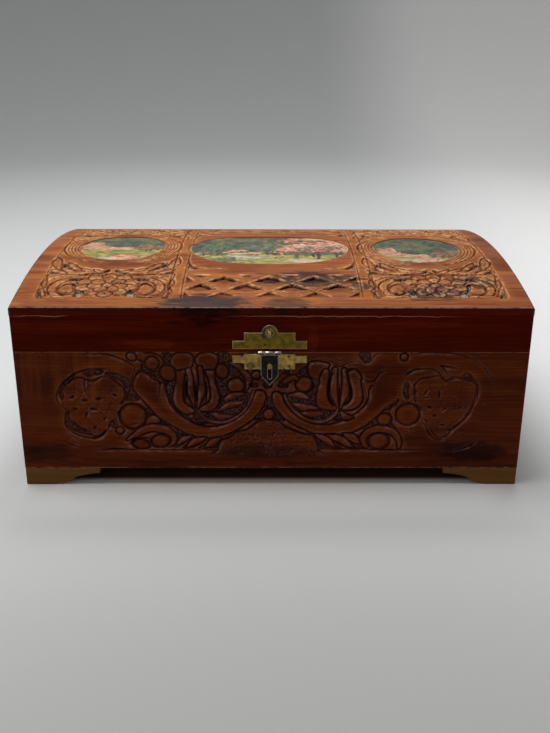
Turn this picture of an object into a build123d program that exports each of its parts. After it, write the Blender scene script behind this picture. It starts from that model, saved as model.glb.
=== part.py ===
from build123d import *
import os
from math import radians, sqrt, tan

# Keepsake box: a cedar case on bracket feet, a domed lid on two butt hinges, and a brass hasp.
# Millimetres. X runs along the front to the right, Y to the back, Z up. The origin is on the
# ground, under the middle of the whole object's outline.

# Case
width = 305.0                # outside, left to right
depth = 203.0                # outside, front to back, without the hasp
wall = 9.5                   # thickness of every upright board
case_height = 76.5           # from the feet to the lid joint
corner_rabbet = 4.75         # how far an end board is let into the front and back boards
floor_thickness = 6.0
floor_rabbet = 4.75          # how far the floor is let into the walls
corner_ease = 1.0            # radius on the upright corners

# Feet
foot_height = 11.5
foot_length = 46.0
foot_thickness = 10.0
foot_flat = 18.5             # part of the foot that stands on the ground
foot_step_at = 29.5          # where the first curve of the bracket meets its step
foot_step = 0.8              # how far along the step runs
foot_first_rise = 3.3        # height of the bracket's curve before the step
foot_first_radius = 59.0
foot_second_rise = 4.8       # height of its next curve just after the step
foot_second_radius = 55.2
foot_end_rise = 7.8          # underside of the foot at its thin end
foot_ease = 1.5              # radius on a foot's outer upright corner

# Lid
lid_edge_height = 27.6       # from the lid joint to the top's front edge
dome_radius = 510.0
top_thickness = 5.0
front_strips = (24.0, 23.0)  # the two narrow boards at the front of the top
wide_boards = 3              # equal boards that make up the rest of the top
top_ease = 1.5               # radius round the top's outer edge
glue_line = 0.05             # between curved faces that are glued

# Pictures let into the top: four-arc ovals
fittings_across = -1.3       # from the box's middle to the middle of the pictures and the hasp
side_picture_spacing = 99.1  # between the middles of the middle picture and a side one
side_picture_width = 57.0
side_picture_depth = 66.7    # front to back
side_picture_end = 26.0      # radius of its two tighter arcs
middle_picture_width = 106.6
middle_picture_depth = 75.0
middle_picture_end = 35.8
left_picture_margin = 71.3   # from the lid's front edge to the picture
middle_picture_margin = 64.0
right_picture_margin = 66.9
picture_depth = 0.5          # picture's face below the dome
picture_thickness = 0.4

# Hinges
hinge_length = 25.0
hinge_from_end = 52.0        # box end to the middle of a hinge
barrel_radius = 1.9
leaf_thickness = 0.9
leaf_gap = 0.1               # each leaf's face below the edge it is let into
knuckle_gap = 0.15           # between knuckles, along the pin
barrel_room = 0.2            # round the barrel, in the wood and in the other leaf
hinge_pin_radius = 0.8
pin_clearance = 0.05
lid_opens = 105.0            # degrees, where the bevels on the back edges meet
bevel_margin = 0.25          # degrees left between the bevels at that limit
screw_spacing = 16.0
screw_head_radius = 1.4
screw_radius = 0.75
screw_length = 7.0
screw_slot_width = 0.5
pilot_clearance = 0.02

# Hasp
plate_thickness = 0.9
plate_chamfer = 0.25
plate_width = 43.8           # the widest row of both plates
step_width = 30.0            # the narrower row of both plates
upper_plate_rise = 2.1       # lid joint to the upper plate's lower edge
upper_row_height = 5.0
upper_step_height = 5.1
lobe_radius = 4.7
keeper_height = 12.2         # barrel to keeper, when the lid is shut
lower_row_drop = 2.2         # lid joint to the top of the lower plate's wide row
lower_row_height = 4.5
lower_plate_drop = 10.7      # lid joint to the lower plate's bottom edge
hasp_barrel_radius = 1.1
hasp_barrel_length = 13.6
tongue_knuckle_length = 5.4
tongue_thickness = 0.8
tongue_clearance = 0.1       # tongue to the plate behind it, hanging or folded up
tongue_width = 10.4
tongue_length = 20.5         # barrel's middle to the point
tongue_taper = 6.1           # length of the point
slot_width = 2.2
slot_start = 7.1             # from the barrel's middle
slot_end = 16.5
hasp_pin_radius = 0.5

# Keeper: a turning eye on the upper plate
flange_radius = 2.6
flange_thickness = 0.5
neck_radius = 0.8
eye_radius = 2.3
eye_thickness = 1.5
eye_hole_radius = 1.0
eye_reach = 6.5              # front of the lid to the front of the eye
eye_clearance = 0.15         # folded tongue to the eye when it is turned across
rivet_radius = 1.6
rivet_thickness = 0.7
rivet_room = 0.3

# Nails of the hasp
nail_head_radius = 1.1
nail_head_thickness = 0.5
nail_head_rounding = 0.4
nail_radius = 0.45
nail_tip_margin = 2.5        # wood left behind a nail's point
upper_nail_spread = 18.2     # centre line to a nail of the upper plate
lower_nail_spread = 11.4

# Places that follow from those sizes
case_middle_y = eye_reach / 2
front_y = case_middle_y - depth / 2
back_y = case_middle_y + depth / 2
half_width = width / 2
joint_z = foot_height + case_height
dome_axis_z = joint_z + lid_edge_height - sqrt(dome_radius ** 2 - (depth / 2) ** 2)
crown_z = dome_axis_z + dome_radius
hinge_y = back_y - barrel_radius
leaf_width = wall - barrel_radius
hinge_centres = {"left": hinge_from_end - half_width, "right": half_width - hinge_from_end}
flange_reach = plate_thickness + flange_thickness
hasp_axis = (plate_thickness + flange_reach + tongue_thickness) / 2 + tongue_clearance
far = 4 * (width + depth)    # longer than anything cut
spare = 1.0                  # how far a short cutter runs past what it cuts


def block(x, y, z):
    """A box between the two ends given along each axis."""
    size = [high - low for low, high in (x, y, z)]
    centre = [(low + high) / 2 for low, high in (x, y, z)]
    return Pos(*centre) * Box(*size)


def rod(axis, radius, start, length):
    """A cylinder from a start point along X, Y or Z, given as a unit vector."""
    return extrude(Plane(origin=start, z_dir=axis) * Circle(radius), length)


def off_front(low, high):
    """The stretch of Y that lies between two distances in front of the front board."""
    return front_y - high, front_y - low


def ease_uprights(board, radius, corners):
    """Rounds the upright edges of a board that stand at the given X, Y corners."""
    edges = [
        edge for edge in board.edges().filter_by(Axis.Z)
        if any(abs(edge.center().X - x) + abs(edge.center().Y - y) < radius / 10 for x, y in corners)
    ]
    return fillet(edges, radius)


def dome(radius):
    """The round bar, along X, whose top is a curved face of the lid."""
    return rod((1, 0, 0), radius, (-far / 2, case_middle_y, dome_axis_z), far)


def end_block(side, z):
    """An end board's block, side being -1 for left and 1 for right."""
    x = sorted((side * half_width, side * (half_width - wall)))
    inset = wall - corner_rabbet
    return block(x, (front_y + inset, back_y - inset), z)


def long_block(y, z):
    """A front or back board's block, rabbeted for the end boards."""
    return block((-half_width, half_width), y, z) - end_block(-1, z) - end_block(1, z)


def back_bevel(up):
    """What the stop bevel cuts from the case's back edge, or from the lid's if up is 1."""
    reach = 2 * barrel_radius
    rise = reach * tan(radians(lid_opens / 2 + bevel_margin))
    outline = Polyline(
        (hinge_y, joint_z),
        (hinge_y + reach, joint_z),
        (hinge_y + reach, joint_z + up * rise),
        close=True,
    )
    return extrude(Plane.YZ.offset(-half_width) * make_face(outline), width)


def hinge_room(centre, up):
    """What a hinge takes out of the edge it is let into."""
    barrel = barrel_radius + barrel_room
    x = (centre - hinge_length / 2 - barrel_room, centre + hinge_length / 2 + barrel_room)
    deep = sorted((joint_z, joint_z + up * barrel))
    shallow = sorted((joint_z, joint_z + up * (leaf_thickness + leaf_gap)))
    room = block(x, (hinge_y - barrel, back_y), deep)
    room += block(x, (hinge_y - leaf_width, back_y), shallow)
    for screw_x in screw_places(centre):
        room += screw_pilot(screw_x, up)
    return room


def screw_places(centre):
    return centre - screw_spacing / 2, centre + screw_spacing / 2


def screw_y():
    """Screws stand midway along the flat part of a leaf."""
    barrel = barrel_radius + barrel_room
    return hinge_y - (leaf_width + barrel) / 2


def screw_pilot(x, up):
    start = (x, screw_y(), joint_z)
    depth_of_hole = leaf_gap + screw_length + pilot_clearance
    return rod((0, 0, up), screw_radius + pilot_clearance, start, depth_of_hole)


def screw_head(x, up, clearance=0.0):
    """The countersunk head of a screw, or with a clearance the seat it lies in."""
    head_depth = screw_head_radius - screw_radius
    middle = joint_z + up * (leaf_gap + head_depth / 2)
    turn = 180 if up == 1 else 0
    cone = Cone(screw_radius + clearance, screw_head_radius + clearance, head_depth)
    return Pos(x, screw_y(), middle) * Rot(turn, 0, 0) * cone


def hinge_screw(x, up):
    """A countersunk screw whose head lies in the face of its leaf."""
    face = joint_z + up * leaf_gap
    slot_depth = (screw_head_radius - screw_radius) / 2
    shank = rod((0, 0, up), screw_radius, (x, screw_y(), face), screw_length)
    slot = block(
        (x - screw_head_radius, x + screw_head_radius),
        (screw_y() - screw_slot_width / 2, screw_y() + screw_slot_width / 2),
        sorted((face - up * spare, face + up * slot_depth)),
    )
    return shank + screw_head(x, up) - slot


def screw_seat(x, up):
    """The countersunk hole in a leaf, wider than its screw by the pilot clearance."""
    start = (x, screw_y(), joint_z - up * spare)
    length = spare + leaf_gap + leaf_thickness + spare
    through = rod((0, 0, up), screw_radius + pilot_clearance, start, length)
    return screw_head(x, up, pilot_clearance) + through


def hinge_leaf(centre, up):
    """A leaf with its knuckles: the two outer ones on the case, the middle one on the lid."""
    third = hinge_length / 3
    start = centre - hinge_length / 2
    outer = [(start, start + third), (start + 2 * third, start + 3 * third)]
    middle = [(start + third + knuckle_gap, start + 2 * third - knuckle_gap)]
    own, other = (outer, middle) if up == -1 else (middle, outer)
    z = sorted((joint_z + up * leaf_gap, joint_z + up * (leaf_gap + leaf_thickness)))
    leaf = block((start, start + hinge_length), (hinge_y - leaf_width, hinge_y), z)
    clear = barrel_radius + barrel_room
    for low, high in other:
        leaf -= block((low - knuckle_gap, high + knuckle_gap), (hinge_y - clear, hinge_y), z)
    for low, high in own:
        leaf += rod((1, 0, 0), barrel_radius, (low, hinge_y, joint_z), high - low)
    bore_start = (start - spare, hinge_y, joint_z)
    bore_radius = hinge_pin_radius + pin_clearance
    leaf -= rod((1, 0, 0), bore_radius, bore_start, hinge_length + 2 * spare)
    for screw_x in screw_places(centre):
        leaf -= screw_seat(screw_x, up)
    return leaf


def nail(x, z):
    """A round-headed nail through a hasp plate into the wood."""
    plate_face = front_y - plate_thickness
    head_start = (x, plate_face - nail_head_thickness, z)
    head = rod((0, 1, 0), nail_head_radius, head_start, nail_head_thickness)
    head = fillet(head.edges().group_by(Axis.Y)[0], nail_head_rounding)
    shank = rod((0, 1, 0), nail_radius, (x, plate_face, z), plate_thickness + nail_reach())
    return head + shank


def nail_reach():
    return wall - nail_tip_margin


def nail_hole(x, z):
    """The hole of a nail, through the plate and the wood behind it."""
    start = (x, front_y - plate_thickness, z)
    length = plate_thickness + nail_reach() + pilot_clearance
    return rod((0, 1, 0), nail_radius + pilot_clearance, start, length)


def upper_nails():
    z = joint_z + upper_plate_rise + upper_row_height / 2
    return [(fittings_across + side * upper_nail_spread, z) for side in (-1, 1)]


def lower_nails():
    row_bottom = lower_row_drop + lower_row_height
    z = joint_z - (row_bottom + lower_plate_drop) / 2
    return [(fittings_across + side * lower_nail_spread, z) for side in (-1, 1)]


def chamfered_plate(shape):
    """Chamfers the front rim of a hasp plate."""
    rim = shape.faces().sort_by(Axis.Y)[0].outer_wire().edges()
    return chamfer(rim, plate_chamfer)


# Case boards

case_z = (foot_height, joint_z)
inside_x = half_width - wall
floor_board = block(
    (-inside_x - floor_rabbet, inside_x + floor_rabbet),
    (front_y + wall - floor_rabbet, back_y - wall + floor_rabbet),
    (foot_height, foot_height + floor_thickness),
)
nodes = {"floor_board": floor_board}

front_board = long_block((front_y, front_y + wall), case_z) - floor_board
for place in lower_nails():
    front_board -= nail_hole(*place)
nodes["front_board"] = ease_uprights(
    front_board, corner_ease, [(-half_width, front_y), (half_width, front_y)]
)

back_board = long_block((back_y - wall, back_y), case_z) - floor_board - back_bevel(-1)
for centre in hinge_centres.values():
    back_board -= hinge_room(centre, -1)
nodes["back_board"] = ease_uprights(
    back_board, corner_ease, [(-half_width, back_y), (half_width, back_y)]
)

nodes["left_board"] = end_block(-1, case_z) - floor_board
nodes["right_board"] = end_block(1, case_z) - floor_board


# Feet: two mitred halves at each corner

def foot_outline():
    """A bracket in its own plane, from the corner inwards and from the ground up."""
    step_end = foot_step_at + foot_step
    first = RadiusArc((foot_flat, 0), (foot_step_at, foot_first_rise), -foot_first_radius)
    second = RadiusArc(
        (step_end, foot_second_rise), (foot_length, foot_end_rise), foot_second_radius
    )
    sides = Polyline(
        (foot_length, foot_end_rise),
        (foot_length, foot_height),
        (0, foot_height),
        (0, 0),
        (foot_flat, 0),
    )
    step = Line((foot_step_at, foot_first_rise), (step_end, foot_second_rise))
    return make_face([first, step, second, sides])


def foot_half(turned):
    """The half of the front left foot that faces front, or the one turned to the side."""
    outline = foot_outline()
    mitre = Polyline((0, 0), (far, 0), (far, far), close=True)
    wedge = extrude(Pos(0, 0, -far / 2) * make_face(mitre), far)
    half = extrude(Plane.XZ * outline, -foot_thickness) & wedge
    if turned:
        half = mirror(half, Plane(origin=(0, 0, 0), z_dir=(1, -1, 0)))
    return Pos(-half_width, front_y, 0) * half


def corner_waste():
    """What the rounded outer corner of a foot loses."""
    square = block(
        (-half_width, -half_width + foot_ease), (front_y, front_y + foot_ease), (0, foot_height)
    )
    centre = (-half_width + foot_ease, front_y + foot_ease, 0)
    return square - rod((0, 0, 1), foot_ease, centre, foot_height)


front_left_halves = {
    "face": foot_half(False) - corner_waste(),
    "side": foot_half(True) - corner_waste(),
}
across = Plane(origin=(0, 0, 0), z_dir=(1, 0, 0))
along = Plane(origin=(0, case_middle_y, 0), z_dir=(0, 1, 0))
for part_name, half in front_left_halves.items():
    nodes[f"front_left_foot_{part_name}"] = half
    nodes[f"front_right_foot_{part_name}"] = mirror(half, across)
    nodes[f"back_left_foot_{part_name}"] = mirror(half, along)
    nodes[f"back_right_foot_{part_name}"] = mirror(mirror(half, across), along)


# Lid rails under the top

rail_z = (joint_z, crown_z)
under_top = dome(dome_radius - top_thickness - glue_line)

lid_front_rail = long_block((front_y, front_y + wall), rail_z) & under_top
keeper_z = joint_z + keeper_height
for place in upper_nails():
    lid_front_rail -= nail_hole(*place)
lid_front_rail -= rod(
    (0, 1, 0),
    rivet_radius + rivet_room,
    (fittings_across, front_y, keeper_z),
    rivet_thickness + rivet_room,
)
nodes["lid_front_rail"] = ease_uprights(
    lid_front_rail, corner_ease, [(-half_width, front_y), (half_width, front_y)]
)

lid_back_rail = (long_block((back_y - wall, back_y), rail_z) & under_top) - back_bevel(1)
for centre in hinge_centres.values():
    lid_back_rail -= hinge_room(centre, 1)
nodes["lid_back_rail"] = ease_uprights(
    lid_back_rail, corner_ease, [(-half_width, back_y), (half_width, back_y)]
)

nodes["lid_left_rail"] = end_block(-1, rail_z) & under_top
nodes["lid_right_rail"] = end_block(1, rail_z) & under_top


# Top boards and the pictures let into them

def top_shell():
    """The whole domed top with its outer edge eased."""
    slab = block((-half_width, half_width), (front_y, back_y), (joint_z, crown_z + spare))
    shell = slab & dome(dome_radius)
    shell = fillet(top_rim(shell), top_ease)
    return shell - dome(dome_radius - top_thickness)


def top_rim(shell):
    """The four edges round the curved face."""
    curved = [face for face in shell.faces() if face.geom_type == GeomType.CYLINDER]
    return curved[0].outer_wire().edges()


def oval(half_long, half_short, end_radius):
    """A four-arc oval that lies along X."""
    across = half_long - end_radius
    spread = across**2 + half_short**2 - end_radius**2
    side_radius = spread / (2 * (half_short - end_radius))
    share = side_radius / (side_radius - end_radius)
    meet_x = across * share
    meet_y = (share - 1) * (side_radius - half_short)
    far_side = ThreePointArc((-meet_x, meet_y), (0, half_short), (meet_x, meet_y))
    right_end = ThreePointArc((meet_x, meet_y), (half_long, 0), (meet_x, -meet_y))
    near_side = ThreePointArc((meet_x, -meet_y), (0, -half_short), (-meet_x, -meet_y))
    left_end = ThreePointArc((-meet_x, -meet_y), (-half_long, 0), (-meet_x, meet_y))
    return make_face([far_side, right_end, near_side, left_end])


def picture_prism(name, wider=0.0):
    """An upright bar through the top with a picture's outline, or a slightly wider one."""
    middle_x, margin, size_x, size_y, end_radius = picture_places[name]
    long, short = sorted((size_x / 2 + wider, size_y / 2 + wider), reverse=True)
    turn = 90 if size_y > size_x else 0
    place = Pos(middle_x, front_y + margin + size_y / 2, joint_z) * Rot(0, 0, turn)
    return extrude(place * oval(long, short, end_radius + wider), crown_z)


side_outline = (side_picture_width, side_picture_depth, side_picture_end)
middle_outline = (middle_picture_width, middle_picture_depth, middle_picture_end)
left_x = fittings_across - side_picture_spacing
right_x = fittings_across + side_picture_spacing
picture_places = {
    "left_picture": (left_x, left_picture_margin, *side_outline),
    "middle_picture": (fittings_across, middle_picture_margin, *middle_outline),
    "right_picture": (right_x, right_picture_margin, *side_outline),
}
picture_top = dome(dome_radius - picture_depth)
picture_back = dome(dome_radius - picture_depth - picture_thickness)
recess_floor = dome(dome_radius - picture_depth - picture_thickness - glue_line)

top = top_shell()
for name in picture_places:
    top -= picture_prism(name, glue_line) - recess_floor
    nodes[name] = (picture_prism(name) & picture_top) - picture_back

seams = [front_y]
for strip in front_strips:
    seams.append(seams[-1] + strip)
wide = (back_y - seams[-1]) / wide_boards
for _ in range(wide_boards):
    seams.append(seams[-1] + wide)
for number, (start, end) in enumerate(zip(seams, seams[1:]), 1):
    cutter = block((-far / 2, far / 2), (start, end), (joint_z, crown_z + spare))
    nodes[f"top_board_{number}"] = top & cutter


# Hinges

case_screws = []
lid_screws = []
for side, centre in hinge_centres.items():
    nodes[f"{side}_hinge_case_leaf"] = hinge_leaf(centre, -1)
    nodes[f"{side}_hinge_lid_leaf"] = hinge_leaf(centre, 1)
    nodes[f"{side}_hinge_pin"] = rod(
        (1, 0, 0), hinge_pin_radius, (centre - hinge_length / 2, hinge_y, joint_z), hinge_length
    )
    case_screws += [hinge_screw(x, -1) for x in screw_places(centre)]
    lid_screws += [hinge_screw(x, 1) for x in screw_places(centre)]
nodes["hinge_case_screws"] = Compound(case_screws)
nodes["hinge_lid_screws"] = Compound(lid_screws)


# Hasp

hasp_middle = Pos(fittings_across, 0, 0)
hasp_y = front_y - hasp_axis
barrel_half = hasp_barrel_length / 2
tongue_half = tongue_knuckle_length / 2


def centred_row(row_width, z):
    """A row of a hasp plate."""
    return block((-row_width / 2, row_width / 2), off_front(0, plate_thickness), z)


def across_barrel(radius, half_length):
    """A rod along the hasp's axis, half on each side of its middle."""
    return rod((1, 0, 0), radius, (-half_length, hasp_y, joint_z), 2 * half_length)


def upper_plate():
    """Two rows and a round lobe that the keeper stands on."""
    plate_face = (0, front_y - plate_thickness, keeper_z)
    row_z = joint_z + upper_plate_rise
    step_z = row_z + upper_row_height
    plate = centred_row(plate_width, (row_z, step_z))
    plate += centred_row(step_width, (step_z, step_z + upper_step_height))
    plate += rod((0, 1, 0), lobe_radius, plate_face, plate_thickness)
    plate = chamfered_plate(plate)
    return plate - rod((0, 1, 0), neck_radius + pin_clearance, plate_face, plate_thickness)


def lower_plate():
    """Two rows, and the two outer knuckles of the barrel at the lid joint."""
    plate_top = joint_z - hasp_barrel_radius
    row_top = joint_z - lower_row_drop
    knuckle_reach = tongue_half + knuckle_gap
    plate = centred_row(plate_width, (row_top - lower_row_height, row_top))
    plate += centred_row(step_width, (joint_z - lower_plate_drop, plate_top))
    plate = chamfered_plate(plate)
    plate += block(
        (-barrel_half, barrel_half), off_front(0, plate_thickness), (plate_top - spare, joint_z)
    )
    plate += across_barrel(hasp_barrel_radius, barrel_half)
    plate -= block(
        (-knuckle_reach, knuckle_reach),
        off_front(0, far),
        (plate_top - barrel_room, joint_z + far),
    )
    return plate - across_barrel(hasp_pin_radius + pin_clearance, barrel_half)


def tongue():
    """The hasp's tongue, hanging down from the barrel."""
    shoulder = hasp_barrel_radius + barrel_room
    half = tongue_width / 2
    outline = Polyline(
        (-half, -shoulder),
        (half, -shoulder),
        (half, tongue_taper - tongue_length),
        (0, -tongue_length),
        (-half, tongue_taper - tongue_length),
        close=True,
    )
    shape = make_face(outline)
    shape += Pos(0, -shoulder / 2) * Rectangle(tongue_knuckle_length, shoulder)
    slot = SlotOverall(slot_end - slot_start, slot_width)
    shape -= Pos(0, -(slot_start + slot_end) / 2) * Rot(0, 0, 90) * slot
    back = front_y - plate_thickness - tongue_clearance
    back_plane = Plane(origin=(0, back, joint_z), x_dir=(1, 0, 0), z_dir=(0, -1, 0))
    plate = extrude(back_plane * shape, tongue_thickness)
    plate = chamfer(plate.faces().sort_by(Axis.Y)[0].edges(), plate_chamfer / 2)
    plate += across_barrel(hasp_barrel_radius, tongue_half)
    return plate - across_barrel(hasp_pin_radius + pin_clearance, tongue_half)


def keeper():
    """The turning eye: rivet behind the plate, neck, flange, and the pierced disc."""
    outwards = (0, -1, 0)
    rivet_back = (0, front_y + rivet_thickness, keeper_z)
    plate_face = (0, front_y - plate_thickness, keeper_z)
    eye_middle = eye_reach - eye_radius
    eye_start = flange_reach + tongue_clearance + tongue_thickness + eye_clearance
    eye_y = front_y - eye_middle
    shape = rod(outwards, neck_radius, rivet_back, rivet_thickness + eye_middle)
    shape += rod(outwards, rivet_radius, rivet_back, rivet_thickness)
    shape += rod(outwards, flange_radius, plate_face, flange_thickness)
    eye = rod((1, 0, 0), eye_radius, (-eye_thickness / 2, eye_y, keeper_z), eye_thickness)
    eye &= block(
        (-eye_thickness, eye_thickness),
        off_front(eye_start, eye_reach),
        (keeper_z - eye_radius, keeper_z + eye_radius),
    )
    hole_start = (-eye_thickness, eye_y, keeper_z)
    return shape + eye - rod((1, 0, 0), eye_hole_radius, hole_start, 2 * eye_thickness)


upper = hasp_middle * upper_plate()
for place in upper_nails():
    upper -= nail_hole(*place)
lower = hasp_middle * lower_plate()
for place in lower_nails():
    lower -= nail_hole(*place)
nodes["hasp_upper_plate"] = upper
nodes["hasp_upper_nails"] = Compound([nail(*place) for place in upper_nails()])
nodes["hasp_lower_plate"] = lower
nodes["hasp_lower_nails"] = Compound([nail(*place) for place in lower_nails()])
nodes["hasp_pin"] = hasp_middle * across_barrel(hasp_pin_radius, barrel_half)
nodes["hasp_tongue"] = hasp_middle * tongue()
nodes["keeper"] = hasp_middle * keeper()


os.makedirs("parts", exist_ok=True)
for name, shape in nodes.items():
    export_step(shape, f"parts/{name}.step")
print(len(nodes), "nodes, crown at", round(crown_z, 2), "hinge axis", round(hinge_y, 3))
print("hasp axis", round(hasp_y, 3), "keeper", round(keeper_z, 3), "front", front_y, "back", back_y)
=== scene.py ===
import math

import bpy
import numpy as np
from mathutils import Matrix, Vector


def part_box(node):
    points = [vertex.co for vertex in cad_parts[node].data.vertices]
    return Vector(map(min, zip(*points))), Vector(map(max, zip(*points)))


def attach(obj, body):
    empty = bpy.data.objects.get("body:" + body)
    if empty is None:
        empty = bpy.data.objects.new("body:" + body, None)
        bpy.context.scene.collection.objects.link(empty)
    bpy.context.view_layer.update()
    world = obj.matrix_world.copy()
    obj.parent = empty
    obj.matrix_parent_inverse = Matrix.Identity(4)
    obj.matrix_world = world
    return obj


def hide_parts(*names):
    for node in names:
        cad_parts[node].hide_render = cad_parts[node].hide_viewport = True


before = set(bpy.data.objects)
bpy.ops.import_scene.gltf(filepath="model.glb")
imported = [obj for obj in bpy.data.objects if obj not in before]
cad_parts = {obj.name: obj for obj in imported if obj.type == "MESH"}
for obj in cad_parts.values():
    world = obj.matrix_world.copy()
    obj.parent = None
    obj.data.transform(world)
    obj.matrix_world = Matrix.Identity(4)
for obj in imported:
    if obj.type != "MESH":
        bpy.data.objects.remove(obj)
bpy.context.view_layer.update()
print("frame loaded:", len(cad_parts), "CAD nodes")

mm = 0.001
lidBoards = [f"top_board_{n}" for n in range(1, 6)]
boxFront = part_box("front_board")[0].y / mm
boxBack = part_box("back_board")[1].y / mm
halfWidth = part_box("front_board")[1].x / mm
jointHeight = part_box("front_board")[1].z / mm
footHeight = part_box("front_board")[0].z / mm
boxMiddle = (boxFront + boxBack) / 2


closeEnough = {"merge": 2e-6, "sliver": 1e-6}    # metres, between points that become one


# ---- small helpers ----

def deselectAll():
    if bpy.context.object and bpy.context.object.mode != "OBJECT":
        bpy.ops.object.mode_set(mode="OBJECT")
    bpy.ops.object.select_all(action="DESELECT")


def pick(obj):
    deselectAll()
    obj.select_set(True)
    bpy.context.view_layer.objects.active = obj
    return obj


def applyModifier(obj, kind, **values):
    pick(obj)
    modifier = obj.modifiers.new(kind.title(), kind)
    for name, value in values.items():
        setattr(modifier, name, value)
    bpy.ops.object.modifier_apply(modifier=modifier.name)


def editWhole(piece, *steps):
    # mesh operators, each with its values, on everything in a piece
    pick(piece)
    bpy.ops.object.mode_set(mode="EDIT")
    bpy.ops.mesh.select_all(action="SELECT")
    for operator, values in steps:
        getattr(bpy.ops.mesh, operator)(**values)
    bpy.ops.object.mode_set(mode="OBJECT")


def copyOfNode(node, name):
    # a CAD node's mesh is loose triangles, so its copy is merged
    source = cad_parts[node]
    piece = bpy.data.objects.new(name, source.data.copy())
    bpy.context.scene.collection.objects.link(piece)
    piece.data.materials.clear()
    if "custom_normal" in piece.data.attributes:
        piece.data.attributes.remove(piece.data.attributes["custom_normal"])
    editWhole(piece, ("remove_doubles", {"threshold": closeEnough["merge"]}))
    return piece


def finishPiece(piece, body, node, material, smoothAngle=35):
    pick(piece)
    bpy.ops.object.shade_smooth_by_angle(angle=math.radians(smoothAngle))
    piece.data.materials.clear()
    piece.data.materials.append(material)
    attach(piece, body)
    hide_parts(node)
    return piece


def nodePoints(piece):
    points = np.zeros(len(piece.data.vertices) * 3, np.float32)
    piece.data.vertices.foreach_get("co", points)
    return points.reshape(-1, 3).astype(float)


def paintAttribute(piece, name, values):
    attribute = piece.data.attributes.new(name, "FLOAT", "POINT")
    attribute.data.foreach_set("value", np.asarray(values, np.float32))


class Tree:
    # short calls for wiring nodes
    def __init__(self, tree):
        self.tree, self.nodes, self.links = tree, tree.nodes, tree.links

    def put(self, socket, value):
        if isinstance(value, bpy.types.NodeSocket):
            self.links.new(value, socket)
        elif hasattr(socket.default_value, "__len__") and not isinstance(value, str):
            value = tuple(value)
            if len(value) == 3 and len(socket.default_value) == 4:
                value += (1,)
            socket.default_value = value
        else:
            socket.default_value = value

    def node(self, kind, settings=None, **inputs):
        made = self.nodes.new("ShaderNode" + kind)
        for name, value in (settings or {}).items():
            setattr(made, name, value)
        for name, value in inputs.items():
            self.put(made.inputs[name.replace("_", " ")], value)
        return made

    def math(self, operation, a, b=0.0, clamp=False):
        made = self.node("Math", {"operation": operation, "use_clamp": clamp})
        self.put(made.inputs[0], a)
        self.put(made.inputs[1], b)
        return made.outputs[0]

    def times(self, a, b, clamp=False):
        return self.math("MULTIPLY", a, b, clamp)

    def plus(self, a, b, clamp=False):
        return self.math("ADD", a, b, clamp)

    def minus(self, a, b, clamp=False):
        return self.math("SUBTRACT", a, b, clamp)

    def parts(self, vector):
        return self.node("SeparateXYZ", {}, Vector=vector).outputs

    def place(self):
        # a point of the piece, in millimetres
        return self.scaled(self.node("TexCoord").outputs["Object"], 1000, 1000, 1000)

    def bump(self, shader, height, strength, distance):
        made = self.node("Bump", {}, Height=height, Strength=strength, Distance=distance)
        self.put(shader["Normal"], made.outputs["Normal"])

    def vector(self, operation, a, b=(0, 0, 0)):
        made = self.node("VectorMath", {"operation": operation})
        self.put(made.inputs[0], a)
        self.put(made.inputs[1], b)
        return made.outputs["Value" if operation in ("LENGTH", "DOT_PRODUCT", "DISTANCE") else "Vector"]

    def scaled(self, a, x, y, z):
        return self.vector("MULTIPLY", a, (x, y, z))

    def noise(self, vector, scale, detail=3.0, roughness=0.55, warp=0.0):
        made = self.node("TexNoise", {}, Vector=vector, Scale=scale, Detail=detail, Roughness=roughness,
                Distortion=warp)
        return made.outputs["Fac"]

    def span(self, value, low, high, toLow=0.0, toHigh=1.0):
        made = self.node("MapRange", {"interpolation_type": "SMOOTHSTEP"}, Value=value)
        for name, number in (("From Min", low), ("From Max", high), ("To Min", toLow), ("To Max", toHigh)):
            self.put(made.inputs[name], number)
        return made.outputs["Result"]

    def blend(self, share, a, b, kind="MIX"):
        made = self.node("Mix", {"data_type": "RGBA", "blend_type": kind})
        self.put(made.inputs["Factor"], share)
        self.put(made.inputs[6], a)
        self.put(made.inputs[7], b)
        return made.outputs[2]

    def group(self, tree, **inputs):
        made = self.nodes.new("ShaderNodeGroup")
        made.node_tree = tree
        for name, value in inputs.items():
            self.put(made.inputs[name], value)
        return made.outputs


# ---- camera, floor and light ----

camera = {"place": (-0.0025, -0.59725, 0.2735), "down": 21.31, "right": 0.5, "roll": 0.22, "lens": 44.4}
# floor tones: near is painted shade, pale painted light just before the box, shade a painted shadow under it
stage = {
    "middle": (0.02, 0.4), "flat": 1.3, "radius": 2.4, "height": 2.2, "curveSteps": 12, "sides": 72,
    "near": (0.40, 0.40, 0.39), "far": (0.66, 0.675, 0.67), "bright": (1.0, 1.0, 0.99),
    "pale": (0.93, 0.935, 0.92),
    "greyAt": (0.01, -0.42, 0), "greyFrom": 0.10, "greyTo": 0.52,
    "brightFrom": 0.10, "brightTo": 0.45,
    "shade": (0.06, 0.032, 0.016), "halo": 0.055, "haloShare": 1.0, "haloIn": 0.03, "haloOut": 0.02,
    "haloBack": (-0.05, -0.01), "shadeEdge": (-0.004, -0.010), "roughness": 0.7, "gloss": 0.2,
}
lamps = {
    "over": {"place": (-0.16, 0.18, 1.2), "aim": (0, 0.04, 0.05), "size": (1.2, 0.7), "power": 17.5},
    "front": {"place": (-0.7, -1.5, 1.0), "aim": (0, 0, 0.06), "size": (1.2, 0.9), "power": 2.3},
}
worldStrength = {"light": 0.09, "seen": 0.80}


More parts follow.
